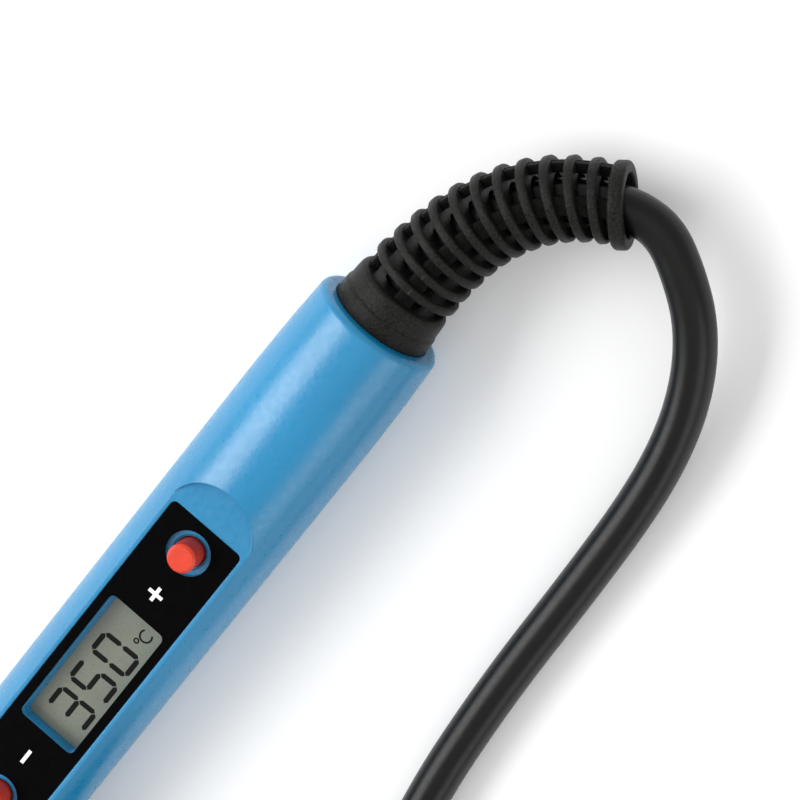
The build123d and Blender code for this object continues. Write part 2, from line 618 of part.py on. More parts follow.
with BuildPart() as barrel_tube:
    revolve(
        profile(
            (TUBE_REAR, TUBE_BORE),
            (TUBE_REAR, TUBE_FLANGE_RADIUS),
            (TUBE_REAR + TUBE_FLANGE, TUBE_FLANGE_RADIUS),
            (TUBE_REAR + TUBE_FLANGE, TUBE_RADIUS),
            (TUBE_FRONT - 0.6, TUBE_RADIUS),
            (TUBE_FRONT, TUBE_RADIUS - 0.5),
            (TUBE_FRONT, TUBE_LIP_BORE),
            (TUBE_FRONT - TUBE_LIP, TUBE_LIP_BORE),
            (TUBE_FRONT - TUBE_LIP, TUBE_BORE),
        ),
        axis=IRON_AXIS,
    )
    # Two rows of vent holes
    for place, turn in VENT_ROWS:
        for vent in range(4):
            angle = math.radians(turn + 90 * vent)
            outward = (0, math.cos(angle), math.sin(angle))
            with BuildSketch(Plane(origin=(at(place), 0, AXIS_Z), x_dir=(1, 0, 0), z_dir=outward)):
                Circle(VENT_RADIUS)
            extrude(amount=TUBE_RADIUS + OVERCUT, mode=Mode.SUBTRACT)

with BuildPart() as soldering_tip:
    revolve(
        profile(
            (TIP_REAR, TIP_BORE),
            (TIP_REAR, TIP_SLEEVE_RADIUS),
            (TIP_SLEEVE_FRONT, TIP_SLEEVE_RADIUS),
            (TIP_SLEEVE_FRONT, TIP_RADIUS),
            (TIP_CONE_REAR, TIP_RADIUS),
            (IRON_LENGTH - 0.5, TIP_END_RADIUS),
            (IRON_LENGTH, TIP_POINT_RADIUS),
            (IRON_LENGTH, 0),
            (TIP_BORE_FRONT, 0),
            (TIP_BORE_FRONT, TIP_BORE),
        ),
        axis=IRON_AXIS,
    )

with BuildPart() as barrel_nut:
    revolve(
        profile(
            (NUT_REAR, THREAD_RADIUS + RUNNING_GAP),
            (NUT_REAR, NUT_REAR_RADIUS),
            (NUT_REAR + 0.6, NUT_RADIUS),
            (NUT_FRONT - 1.6, NUT_RADIUS),
            (NUT_FRONT, NUT_FRONT_RADIUS),
            (NUT_FRONT, NUT_BORE),
            (NUT_SHOULDER, NUT_BORE),
            (NUT_SHOULDER, THREAD_RADIUS + RUNNING_GAP),
        ),
        axis=IRON_AXIS,
    )
    # Straight knurling
    with BuildSketch(across(NUT_REAR + 1.4)):
        with PolarLocations(KNURL_PLACE, KNURLS):
            Circle(KNURL_RADIUS)
    extrude(amount=NUT_FRONT - NUT_REAR - 4.4, mode=Mode.SUBTRACT)

with BuildPart() as grip_sleeve:
    with BuildSketch(SIDE):
        with BuildLine():
            Polyline(
                (at(HANDLE_LENGTH), GRIP_REAR_RADIUS),
                (at(HANDLE_LENGTH), NOSE_RADIUS + RUNNING_GAP),
                (at(GRIP_FRONT), NOSE_RADIUS + RUNNING_GAP),
                (at(GRIP_FRONT), GRIP_FRONT_RADIUS),
            )
            Spline(
                (at(GRIP_FRONT), GRIP_FRONT_RADIUS),
                (at(148.4), 9.7),
                (at(145.0), 9.2),
                (at(137.0), 8.6),
                (at(128.0), 9.1),
                (at(123.0), 9.9),
                (at(HANDLE_LENGTH), GRIP_REAR_RADIUS),
            )
        make_face()
    revolve(axis=IRON_AXIS)
    # Finger grooves round the waist
    for groove in range(GRIP_GROOVES):
        start = GRIP_FIRST_GROOVE + GRIP_GROOVE_PITCH * groove
        revolve(
            profile(
                (start, GRIP_GROOVE_RADIUS),
                (start - 0.4, HANDLE_RADIUS),
                (start + 1.0, HANDLE_RADIUS),
                (start + 0.6, GRIP_GROOVE_RADIUS),
            ),
            axis=IRON_AXIS,
            mode=Mode.SUBTRACT,
        )

# The cord's line: straight runs joined by arcs that are as large as the runs allow
corners = [Vector(REAR_X + x, y, z) for x, y, z in CORD_ROUTE]


def bend_radii(points):
    """The radius at each inner corner of a route."""
    radii = []
    for before, here, after in zip(points, points[1:], points[2:]):
        shorter = min((here - before).length, (after - here).length)
        turn = (here - before).get_angle(after - here)
        radii.append(CORD_BEND_SHARE * shorter / math.tan(math.radians(turn / 2)))
    return radii


def cord_tube(points):
    """A tube of the cord's diameter along a route."""
    with BuildLine() as line:
        FilletPolyline(*points, radius=bend_radii(points))
    path = line.wires()[0]
    with BuildSketch(Plane(origin=path @ 0, z_dir=path % 0)) as section:
        Circle(CORD_RADIUS)
    tube = sweep(section.sketch, path=path, mode=Mode.PRIVATE)
    print("radii", [round(r, 1) for r in bend_radii(points)])
    print("length", round(path.length, 1), "volume share",
          round(tube.volume / (path.length * math.pi * CORD_RADIUS**2), 4))
    return tube, path


free_tube, cord_line = cord_tube(corners)

with BuildPart() as power_cord:
    add(free_tube)

# Bend relief: collar in the handle's mouth, ribs and webs that follow the cord
with BuildPart() as strain_relief:
    revolve(
        profile(
            (COLLAR_IN, RELIEF_BORE),
            (COLLAR_IN, FLANGE_RADIUS),
            (MOUTH_LIP + 0.1, FLANGE_RADIUS),
            (MOUTH_LIP + 0.1, COLLAR_RADIUS),
            (-2.6, COLLAR_RADIUS),
            (-3.2, COLLAR_RADIUS - 0.2),
            (-COLLAR_OUT + 0.4, COLLAR_RADIUS - 0.4),
            (-COLLAR_OUT, COLLAR_RADIUS - 0.8),
            (-COLLAR_OUT, RELIEF_BORE),
        ),
        axis=IRON_AXIS,
    )
    rib_places = [FIRST_RIB + RIB_PITCH * rib for rib in range(RIBS)]
    rib_places.append(rib_places[-1] + RIB_PITCH + END_GAP)
    root = 3.0  # the cord's line starts this far inside the handle
    last_edge = COLLAR_OUT - 0.3

    def relief_plane(place, turn=0.0):
        """Square to the relief so far out. It bends later than the cord does."""
        late = (max(place, 0.0) / rib_places[-1]) ** 2
        centre = cord_line.position_at(root + place, position_mode=PositionMode.LENGTH)
        ahead = cord_line.tangent_at(root + place - RING_LAG * late, position_mode=PositionMode.LENGTH)
        outward = Vector(0, 0, 1).cross(ahead)
        square = Plane(origin=centre + outward * (RING_SHIFT * late), x_dir=(0, 0, 1), z_dir=ahead)
        return square.rotated((0, 0, turn))

    for number, place in enumerate(rib_places):
        share = number / RIBS
        is_end = number == RIBS
        rib_radius = END_RING_RADIUS if is_end else (
            FIRST_RIB_RADIUS + (LAST_RIB_RADIUS - FIRST_RIB_RADIUS) * share**0.8
        )
        bore = END_BORE if is_end else RELIEF_BORE + (LAST_BORE - RELIEF_BORE) * share
        thick = END_RING_THICK if is_end else RIB_THICK
        with BuildSketch(relief_plane(place)):
            Circle(rib_radius)
            Circle(bore, mode=Mode.SUBTRACT)
        extrude(amount=thick / 2, both=True)
        # Four webs from the piece before to this one
        with BuildSketch(relief_plane((last_edge + place) / 2, WEB_TURN)):
            Rectangle(20, WEB_WIDTH)
            Rectangle(WEB_WIDTH, 20)
            Circle(rib_radius - WEB_RECESS, mode=Mode.INTERSECT)
            Circle(min(bore, LAST_BORE), mode=Mode.SUBTRACT)
        extrude(amount=(place - last_edge) / 2, both=True)
        last_edge = place

# Hank of the cord's spare length, and the strap that ties its waist
hank_rear_centre = at(HANK_REAR + HANK_END_RADIUS)
hank_front_centre = hank_rear_centre - HANK_CENTRES
hank_middle = (hank_rear_centre + hank_front_centre) / 2

with BuildPart() as cord_hank:
    with BuildSketch():
        with Locations((hank_rear_centre, HANK_SIDE), (hank_front_centre, HANK_SIDE)):
            Circle(HANK_END_RADIUS)
    extrude(amount=HANK_HEIGHT)
    with BuildSketch(Plane.XY.offset(WAIST_LIFT)):
        with Locations((hank_middle, HANK_SIDE)):
            Rectangle(HANK_CENTRES, WAIST_WIDTH)
    extrude(amount=HANK_HEIGHT)

with BuildPart() as hank_tie:
    waist = Plane(
        origin=(hank_middle, HANK_SIDE, WAIST_LIFT + HANK_HEIGHT / 2), x_dir=(0, 1, 0), z_dir=(1, 0, 0)
    )
    with BuildSketch(waist):
        RectangleRounded(
            WAIST_WIDTH + 2 * (TIE_GAP + TIE_THICK), HANK_HEIGHT + 2 * (TIE_GAP + TIE_THICK), TIE_CORNER
        )
        Rectangle(WAIST_WIDTH + 2 * TIE_GAP, HANK_HEIGHT + 2 * TIE_GAP, mode=Mode.SUBTRACT)
    extrude(amount=TIE_WIDTH / 2, both=True)

# Mains plug
PLUG_AXIS = Axis((0, PLUG_SIDE, PLUG_FLAT), (1, 0, 0))
plug_side_plane = Plane(origin=(0, PLUG_SIDE, PLUG_FLAT), x_dir=(1, 0, 0), z_dir=(0, -1, 0))
plug_face = PLUG_REAR + PLUG_LENGTH
plug_face_plane = Plane(
    origin=(at(plug_face), PLUG_SIDE, PLUG_FLAT), x_dir=(0, 1, 0), z_dir=(-1, 0, 0)
)

neck_grooves = []
for groove in range(NECK_GROOVES):
    start = NECK_FIRST_GROOVE + NECK_GROOVE_PITCH * groove
    for shift, depth in (
        (0.0, 0.0),
        (GROOVE_SLOPE, NECK_GROOVE_DEPTH),
        (GROOVE_LENGTH - GROOVE_SLOPE, NECK_GROOVE_DEPTH),
        (GROOVE_LENGTH, 0.0),
    ):
        rise = (NECK_RADIUS - NECK_REAR_RADIUS) * (start + shift) / NECK_LENGTH
        neck_grooves.append((at(PLUG_REAR + start + shift), NECK_REAR_RADIUS + rise - depth))

with BuildPart() as plug_body:
    with BuildSketch(plug_side_plane):
        with BuildLine():
            Polyline(
                (at(PLUG_REAR), 0),
                (at(PLUG_REAR), NECK_REAR_RADIUS),
                *neck_grooves,
                (at(PLUG_REAR + NECK_LENGTH), NECK_RADIUS),
                (at(PLUG_REAR + NECK_LENGTH + SHOULDER_STEP), SHOULDER_RADIUS),
            )
            ThreePointArc(
                (at(PLUG_REAR + NECK_LENGTH + SHOULDER_STEP), SHOULDER_RADIUS),
                (at(PLUG_REAR + DOME_MIDDLE), DOME_MIDDLE_RADIUS),
                (at(PLUG_REAR + DOME_FRONT), PLUG_RADIUS),
            )
            Polyline(
                (at(PLUG_REAR + DOME_FRONT), PLUG_RADIUS),
                (at(plug_face - PLUG_RIM), PLUG_RADIUS),
                (at(plug_face), PLUG_RADIUS - PLUG_RIM),
                (at(plug_face), 0),
                (at(PLUG_REAR), 0),
            )
        make_face()
    revolve(axis=PLUG_AXIS)
    with BuildSketch(plug_face_plane):
        with Locations((0, PLUG_FLAT + 5), (0, -PLUG_FLAT - 5)):
            Rectangle(50, 10)
    extrude(amount=-PLUG_LENGTH, mode=Mode.SUBTRACT)
    with BuildSketch(plug_face_plane):
        with Locations((0, PLUG_FLAT), (0, -PLUG_FLAT)):
            Rectangle(CLIP_WIDTH + 1.0, 2 * CLIP_RECESS)
    extrude(amount=-CLIP_LENGTH, mode=Mode.SUBTRACT)
    with BuildSketch(plug_face_plane):
        with Locations((PIN_SPACING / 2, 0), (-PIN_SPACING / 2, 0)):
            Circle(PIN_ROOT_RADIUS + RUNNING_GAP)
    extrude(amount=-PIN_DEPTH, mode=Mode.SUBTRACT)
    with BuildSketch(plug_face_plane):
        with Locations((0, EARTH_HOLE_SIDE)):
            Circle(EARTH_HOLE_RADIUS)
    extrude(amount=-EARTH_HOLE_DEPTH, mode=Mode.SUBTRACT)

with BuildPart() as plug_pins:
    with BuildSketch(plug_face_plane.offset(-PIN_DEPTH)):
        with Locations((PIN_SPACING / 2, 0), (-PIN_SPACING / 2, 0)):
            Circle(PIN_ROOT_RADIUS)
    extrude(amount=PIN_DEPTH)
    with BuildSketch(plug_face_plane):
        with Locations((PIN_SPACING / 2, 0), (-PIN_SPACING / 2, 0)):
            Circle(PIN_RADIUS)
    extrude(amount=PIN_LENGTH)
    fillet(plug_pins.edges().filter_by(GeomType.CIRCLE).group_by(Axis.X)[0], PIN_NOSE)

with BuildPart() as plug_earth_clips:
    for side in (-1, 1):
        with BuildSketch(plug_face_plane):
            with Locations((0, side * (PLUG_FLAT - CLIP_RECESS + CLIP_THICK / 2))):
                Rectangle(CLIP_WIDTH, CLIP_THICK)
        extrude(amount=-CLIP_LENGTH)

# Last stretch of the cord, from the hank to the plug
with BuildPart() as cord_to_plug:
    last_corners = [
        Vector(hank_front_centre - 14.0, LAST_RUN_SIDE, LAST_RUN_HEIGHT),
        Vector(at(PLUG_REAR) + 25.0, -68.6, 11.6),
        Vector(at(PLUG_REAR) + 10.0, -63.8, 15.4),
        Vector(at(PLUG_REAR), PLUG_SIDE, PLUG_FLAT),
    ]
    last_tube, last_line = cord_tube(last_corners)
    add(last_tube)

os.makedirs("parts", exist_ok=True)
PIECES = {
    "upper_shell": upper_shell,
    "lower_shell": lower_shell,
    "shell_screws": shell_screws,
    "panel_overlay": panel_overlay,
    "main_board": main_board,
    "push_switches": push_switches,
    "plus_plunger": plus_plunger,
    "minus_plunger": minus_plunger,
    "plus_button_cap": plus_button_cap,
    "minus_button_cap": minus_button_cap,
    "display_holder": display_holder,
    "contact_strips": contact_strips,
    "display_glass": display_glass,
    "film_capacitor": film_capacitor,
    "electrolytic_capacitor": electrolytic_capacitor,
    "controller_chip": controller_chip,
    "triac": triac,
    "dropper_resistors": dropper_resistors,
    "cord_tail": cord_tail,
    "cord_clamp": cord_clamp,
    "clamp_screws": clamp_screws,
    "live_wire": live_wire,
    "neutral_wire": neutral_wire,
    "earth_wire": earth_wire,
    "heater_leads": heater_leads,
    "sensor_leads": sensor_leads,
    "front_socket": front_socket,
    "heater_element": heater_element,
    "heater_collar": heater_collar,
    "earth_contact": earth_contact,
    "barrel_tube": barrel_tube,
    "soldering_tip": soldering_tip,
    "barrel_nut": barrel_nut,
    "grip_sleeve": grip_sleeve,
    "strain_relief": strain_relief,
    "power_cord": power_cord,
    "cord_hank": cord_hank,
    "hank_tie": hank_tie,
    "cord_to_plug": cord_to_plug,
    "plug_body": plug_body,
    "plug_pins": plug_pins,
    "plug_earth_clips": plug_earth_clips,
}
for name, piece in PIECES.items():
    piece.part.label = name
    export_step(piece.part, f"parts/{name}.step")
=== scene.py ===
import json
import math

import bmesh
import bpy
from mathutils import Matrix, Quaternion, Vector


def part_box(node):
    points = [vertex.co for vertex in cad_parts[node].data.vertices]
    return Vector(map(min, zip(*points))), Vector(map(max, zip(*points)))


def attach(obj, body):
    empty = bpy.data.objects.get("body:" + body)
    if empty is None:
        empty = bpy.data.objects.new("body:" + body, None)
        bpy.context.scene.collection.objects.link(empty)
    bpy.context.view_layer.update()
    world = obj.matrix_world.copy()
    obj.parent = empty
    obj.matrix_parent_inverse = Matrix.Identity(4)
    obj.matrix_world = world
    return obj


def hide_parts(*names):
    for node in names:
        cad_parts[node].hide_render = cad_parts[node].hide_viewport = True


# A soldering iron with a controller in its handle. Metres, in the frame's axes:
# +X along the iron towards its cord, +Z up through the panel, resting on z = 0.
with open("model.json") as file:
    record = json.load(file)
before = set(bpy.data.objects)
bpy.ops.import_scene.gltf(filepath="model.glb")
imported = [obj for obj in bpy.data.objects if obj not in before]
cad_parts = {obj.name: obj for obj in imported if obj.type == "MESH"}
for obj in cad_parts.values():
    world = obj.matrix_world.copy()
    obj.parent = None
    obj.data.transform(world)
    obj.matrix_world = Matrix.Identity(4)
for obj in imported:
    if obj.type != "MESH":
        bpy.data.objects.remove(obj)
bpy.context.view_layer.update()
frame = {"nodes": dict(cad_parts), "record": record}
MM = 0.001

# Places that come from the frame
REAR_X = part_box("upper_shell")[1].x
AXIS_Z = sum(p.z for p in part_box("barrel_nut")) / 2
PANEL_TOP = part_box("panel_overlay")[1].z
GLASS_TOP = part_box("display_glass")[1].z
GLASS_X = sum(p.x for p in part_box("display_glass")) / 2
PLUS_X = sum(p.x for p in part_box("plus_button_cap")) / 2
MINUS_X = sum(p.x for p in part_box("minus_button_cap")) / 2


# ---------------------------------------------------------------- helpers
def srgb(red, green, blue):
    """A colour given in 0 to 255 screen values, as linear light."""
    shares = (value / 255 for value in (red, green, blue))
    return tuple(s / 12.92 if s <= 0.04045 else ((s + 0.055) / 1.055) ** 2.4 for s in shares)


def scaled(tone, share):
    """A colour made darker or lighter."""
    return tuple(min(1.0, value * share) for value in tone)


def smooth_step(share):
    """0 to 1 with soft ends."""
    share = min(max(share, 0.0), 1.0)
    return share * share * (3 - 2 * share)


def quarter_turn(centre, radius, start, turn, steps):
    """Points of a quarter circle from an angle in degrees, up (1) or down (-1) in angle."""
    points = []
    for i in range(steps + 1):
        angle = math.radians(start + turn * 90 * i / steps)
        points.append((centre[0] + radius * math.cos(angle), centre[1] + radius * math.sin(angle)))
    return points


def new_object(name, data):
    """An object in the scene, at the origin."""
    made = bpy.data.objects.new(name, data)
    bpy.context.scene.collection.objects.link(made)
    return made


def new_piece(name, data, material):
    """A piece that rides on the handle, with the material it is given."""
    piece = new_object(name, data)
    data.materials.append(material)
    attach(piece, "handle")
    return piece


def mesh_from(name, shape, crease=35):
    """A mesh from a bmesh, with smooth shading up to a crease angle in degrees."""
    bmesh.ops.recalc_face_normals(shape, faces=shape.faces)
    for face in shape.faces:
        face.smooth = True
    for edge in shape.edges:
        edge.smooth = len(edge.link_faces) == 2 and edge.calc_face_angle() < math.radians(crease)
    mesh = bpy.data.meshes.new(name)
    shape.to_mesh(mesh)
    shape.free()
    return mesh


def add_loops(shape, loops, closed=False, capped=True):
    """Skins a row of equal loops of points with quads."""
    rows = [[shape.verts.new(point) for point in loop] for loop in loops]
    count = len(rows[0])
    pairs = list(zip(rows, rows[1:]))
    if closed:
        pairs.append((rows[-1], rows[0]))
    for row, following in pairs:
        for i in range(count):
            j = (i + 1) % count
            shape.faces.new((row[i], row[j], following[j], following[i]))
    if capped and not closed:
        shape.faces.new(rows[0][::-1])
        shape.faces.new(rows[-1])


def add_plate(shape, outline, low, high):
    """A flat plate between two heights over an outline of (x, y) points."""
    add_loops(shape, [[(x, y, z) for x, y in outline] for z in (low, high)])


def bar_outline(centre_x, centre_y, length, width):
    """Corners of a rectangle, its length along X."""
    return [
        (centre_x + sx * length / 2, centre_y + sy * width / 2)
        for sx, sy in ((-1, -1), (1, -1), (1, 1), (-1, 1))
    ]


BEVEL_SAMPLES = 4
NOISE_LOW, NOISE_HIGH = 0.35, 0.65  # the range that most of a noise's values lie in
MIX_FIRST, MIX_SECOND, MIX_RESULT = 6, 7, 2  # a colour mix's sockets for its colours and result


class Finish:
    """A material whose tone, gloss and relief come from places on the object, in metres."""

    def __init__(self, name, tone, roughness, **sockets):
        self.material = bpy.data.materials.new(name)
        self.material.use_nodes = True
        self.tree = self.material.node_tree
        self.shader = self.tree.nodes["Principled BSDF"]
        self.tone = tone
        self.set(self.shader, "Base Color", (*tone, 1.0))
        self.set(self.shader, "Roughness", roughness)
        for socket, value in sockets.items():
            self.set(self.shader, socket.replace("_", " "), value)
        self.place = self.tree.nodes.new("ShaderNodeTexCoord").outputs["Object"]

    def set(self, node, socket, value):
        """Gives a socket a number, a colour or another node's output."""
        if isinstance(value, bpy.types.NodeSocket):
            self.tree.links.new(value, node.inputs[socket])
        else:
            node.inputs[socket].default_value = value

    def node(self, kind, output=0, **sockets):
        """A new node's output, with its sockets filled."""
        made = self.tree.nodes.new(kind)
        for socket, value in sockets.items():
            self.set(made, socket.replace("_", " "), value)
        return made.outputs[output]

    def spread(self, size, stretch=(1, 1, 1)):
        """The place divided by a feature size, longer along the stretched axes."""
        scale = [1 / (size * s) for s in stretch]
        return self.node("ShaderNodeMapping", Vector=self.place, Scale=scale)

    def noise(self, size, detail=2.0, stretch=(1, 1, 1), roughness=0.5):
        """Soft random values about 0.5 with features of that size."""
        return self.node(
            "ShaderNodeTexNoise",
            Vector=self.spread(size, stretch),
            Scale=1.0,
            Detail=detail,
            Roughness=roughness,
        )

    def ranged(self, source, low, high, new_low=0.0, new_high=1.0):
        """A value's range stretched to another."""
        return self.node(
            "ShaderNodeMapRange",
            Value=source,
            From_Min=low,
            From_Max=high,
            To_Min=new_low,
            To_Max=new_high,
        )

    def math(self, operation, first, second=0.0):
        """Two values combined."""
        made = self.tree.nodes.new("ShaderNodeMath")
        made.operation = operation
        for socket, value in enumerate((first, second)):
            self.set(made, socket, value)
        return made.outputs[0]

    def mix(self, share, first, second):
        """A colour between two others."""
        made = self.tree.nodes.new("ShaderNodeMix")
        made.data_type = "RGBA"
        self.set(made, 0, share)
        for socket, tone in ((MIX_FIRST, first), (MIX_SECOND, second)):
            self.set(made, socket, tone if isinstance(tone, bpy.types.NodeSocket) else (*tone, 1.0))
        return made.outputs[MIX_RESULT]

    def mottle(self, source, dark, light, low=NOISE_LOW, high=NOISE_HIGH):
        """Tone that wanders between a darker and a lighter share of the base."""
        share = self.ranged(source, low, high)
        self.paint(self.mix(share, scaled(self.tone, dark), scaled(self.tone, light)))

    def paint(self, tone):
        """Sets the base colour."""
        self.set(self.shader, "Base Color", tone)

    def gloss(self, source, low, high, source_low=NOISE_LOW, source_high=NOISE_HIGH):
        """Roughness that wanders between two values."""
        self.set(self.shader, "Roughness", self.ranged(source, source_low, source_high, low, high))

    def soften(self, radius):
        """Rounds sharp edges by a small radius in shading."""
        bevel = self.tree.nodes.new("ShaderNodeBevel")
        bevel.samples = BEVEL_SAMPLES
        self.set(bevel, "Radius", radius)
        self.chain(bevel.outputs[0])

    def relief(self, source, height):
        """Bumps of that height, on top of those already there."""
        before = self.shader.inputs["Normal"].links
        bump = self.tree.nodes.new("ShaderNodeBump")
        if before:
            self.tree.links.new(before[0].from_socket, bump.inputs["Normal"])
        self.set(bump, "Height", source)
        self.set(bump, "Distance", height)
        self.chain(bump.outputs[0])

    def chain(self, normal):
        """Sets the surface's normal."""
        self.tree.links.new(normal, self.shader.inputs["Normal"])

    def axis(self, name):
        """One coordinate of the place."""
        return self.node("ShaderNodeSeparateXYZ", output="XYZ".index(name), Vector=self.place)

    def wave(self, source, pitch):
        """Values from -1 to 1 and back once in every pitch."""
        return self.math("SINE", self.math("MULTIPLY", source, 2 * math.pi / pitch))


# ---------------------------------------------------------------- materials
BLUE = srgb(1, 124, 172)
RUBBER_BLACK = srgb(21, 21, 19)
RUBBER_PAINTED_SHADE = srgb(8, 8, 7)  # painted shade: a darker copy of the rubber for the webs, which the ribs shade
# its low specular is part of the same painted shade on the webs
PAINTED_SHADE_SPECULAR = 0.05
CORD_BLACK = srgb(6, 6, 5)
BUTTON_RED = srgb(206, 54, 25)
GLASS_GREY = srgb(109, 113, 100)


def moulded(name, tone, roughness, grain=0.25 * MM, height=0.006 * MM, edge=0.0):
    """Injection-moulded plastic: spark-eroded grain, slow tone drift and uneven gloss."""
    finish = Finish(name, tone, roughness)
    if edge:
        finish.soften(edge)
    finish.mottle(finish.noise(6 * MM, 3.0), 0.94, 1.05)
    finish.gloss(finish.noise(2.5 * MM, 4.0), roughness - 0.05, roughness + 0.06)
    finish.relief(finish.noise(grain, 2.0), height)
    finish.relief(finish.noise(9 * MM, 1.0), 0.02 * MM)
    return finish.material


def metal(name, tone, roughness, stretch):
    """Turned or drawn metal: stains, smudges and scratches, longer along the stretched axis."""
    finish = Finish(name, tone, roughness, Metallic=1.0)
    finish.soften(0.1 * MM)
    scratches = finish.noise(0.12 * MM, 3.0, stretch)
    finish.mottle(finish.noise(3 * MM, 4.0), 0.82, 1.08)
    finish.gloss(scratches, roughness - 0.08, roughness + 0.12)
    finish.relief(scratches, 0.003 * MM)
    return finish.material


def handle_plastic():
    """Bright blue plastic with a fine satin grain, faintly rubbed."""
    finish = Finish(
        "handle_plastic", BLUE, 0.34, Specular_IOR_Level=0.7, Coat_Weight=0.05, Coat_Roughness=0.2
    )
    finish.soften(0.4 * MM)
    finish.mottle(finish.noise(14 * MM, 3.0, (2, 1, 1)), 0.93, 1.05)
    finish.gloss(finish.noise(1.2 * MM, 5.0), 0.26, 0.38)
    finish.relief(finish.noise(0.7 * MM, 1.0), 0.022 * MM)
    finish.relief(finish.noise(7 * MM, 1.0, (3, 1, 1)), 0.03 * MM)
    return finish.material


def overlay_film():
    """Black printed film, nearly smooth, with hairline scuffs."""
    finish = Finish("overlay_film", srgb(3, 3, 4), 0.3, Specular_IOR_Level=0.03)
    hair = finish.noise(0.08 * MM, 4.0, (30, 2, 1))
    finish.gloss(hair, 0.24, 0.4)
    finish.mottle(finish.noise(1.5 * MM, 3.0), 0.85, 1.2)
    finish.relief(finish.noise(0.15 * MM, 2.0), 0.001 * MM)
    return finish.material


def relief_rubber(name="relief_rubber", tone=RUBBER_BLACK, specular=0.13):
    """Soft black elastomer with a coarse grain; its light and dark flecks are partly its own uneven
    tone and partly painted glints.
    """
    finish = Finish(name, tone, 0.4, Specular_IOR_Level=specular)
    grain = finish.noise(0.3 * MM, 3.0, roughness=0.7)
    # tone flecks from a third to over twice the base: the rubber's uneven tone, with painted glints
    # on the grain
    finish.mottle(finish.noise(0.32 * MM, 3.0, roughness=0.7), 0.35, 2.3, 0.38, 0.64)
    finish.gloss(grain, 0.3, 0.5)
    finish.relief(grain, 0.11 * MM)
    finish.relief(finish.noise(3.0 * MM, 2.0), 0.03 * MM)
    return finish.material


def cord_sheath():
    """Satin vinyl sheath, with slow waves where the cores lie under it."""
    finish = Finish("cord_sheath", CORD_BLACK, 0.32, Specular_IOR_Level=0.28)
    finish.mottle(finish.noise(2.5 * MM, 4.0), 0.85, 1.25)
    finish.gloss(finish.noise(0.9 * MM, 5.0), 0.29, 0.37)
    finish.relief(finish.noise(0.2 * MM, 2.0), 0.002 * MM)
    finish.relief(finish.noise(9 * MM, 1.0), 0.01 * MM)
    return finish.material


def button_plastic():
    """Red-orange glossy moulded plastic."""
    finish = Finish("button_plastic", BUTTON_RED, 0.36, Specular_IOR_Level=0.5)
    finish.soften(0.12 * MM)
    finish.mottle(finish.noise(1.2 * MM, 3.0), 0.94, 1.06)
    finish.gloss(finish.noise(0.5 * MM, 4.0), 0.3, 0.44)
    finish.relief(finish.noise(0.16 * MM, 2.0), 0.004 * MM)
    return finish.material


def display_glass():
    """Grey-green liquid-crystal glass with its polariser film."""
    finish = Finish("display_glass", GLASS_GREY, 0.32, Coat_Weight=0.6, Coat_Roughness=0.08)
    finish.mottle(finish.noise(5 * MM, 2.0), 0.95, 1.04)
    finish.gloss(finish.noise(0.4 * MM, 3.0), 0.26, 0.38)
    finish.relief(finish.noise(0.06 * MM, 1.0), 0.0006 * MM)
    return finish.material


def circuit_board():
    """Green solder mask over copper tracks that run along the board."""
    finish = Finish("circuit_board", srgb(24, 86, 48), 0.35, Coat_Weight=0.3, Coat_Roughness=0.15)
    tracks = finish.noise(1.1 * MM, 0.0, (9, 1, 1))
    edge = finish.ranged(tracks, 0.47, 0.5)
    finish.paint(finish.mix(edge, finish.tone, srgb(38, 112, 62)))
    finish.relief(edge, 0.035 * MM)
    finish.relief(finish.noise(0.1 * MM, 2.0), 0.001 * MM)
    return finish.material


def grip_silicone():
    """Matt black silicone that holds a little dust."""
    finish = Finish("grip_silicone", srgb(24, 24, 25), 0.62, Sheen_Weight=0.1, Sheen_Roughness=0.5)
    finish.mottle(finish.noise(1.6 * MM, 5.0, roughness=0.65), 0.8, 1.35)
    finish.gloss(finish.noise(0.6 * MM, 3.0), 0.55, 0.7)
    finish.relief(finish.noise(0.2 * MM, 3.0), 0.008 * MM)
    return finish.material


def tube_steel():
    """Drawn stainless tube with straw and blue heat tints towards its front."""
    finish = Finish("tube_steel", srgb(196, 194, 190), 0.24, Metallic=1.0)
    finish.soften(0.12 * MM)
    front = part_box("barrel_tube")[0].x
    wander = finish.math("MULTIPLY", finish.noise(6 * MM, 3.0), 8 * MM)
    along = finish.math("ADD", finish.axis("X"), wander)
    heat = finish.ranged(along, front + 26 * MM, front + 4 * MM)
    straw = finish.mix(heat, finish.tone, srgb(196, 158, 104))
    finish.paint(finish.mix(finish.ranged(heat, 0.55, 1.0), straw, srgb(118, 108, 132)))
    hair = finish.noise(0.09 * MM, 3.0, (25, 1, 1))
    finish.gloss(hair, 0.18, 0.34)
    finish.relief(hair, 0.002 * MM)
    return finish.material


def tip_plating():
    """Iron-plated copper tip: dull plating, bright tinned point."""
    finish = Finish("tip_plating", srgb(150, 146, 142), 0.42, Metallic=1.0)
    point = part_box("soldering_tip")[0].x
    wander = finish.math("MULTIPLY", finish.noise(1.5 * MM, 3.0), 3 * MM)
    along = finish.math("ADD", finish.axis("X"), wander)
    tinned = finish.ranged(along, point + 8.2 * MM, point + 7.4 * MM)
    scorched = finish.ranged(along, point + 9 * MM, point + 20 * MM)
    plating = finish.mix(scorched, srgb(92, 84, 80), finish.tone)
    finish.paint(finish.mix(tinned, plating, srgb(214, 214, 216)))
    finish.gloss(tinned, 0.45, 0.16, 0.0, 1.0)
    finish.relief(finish.noise(0.5 * MM, 4.0), 0.02 * MM)
    finish.soften(0.1 * MM)
    return finish.material


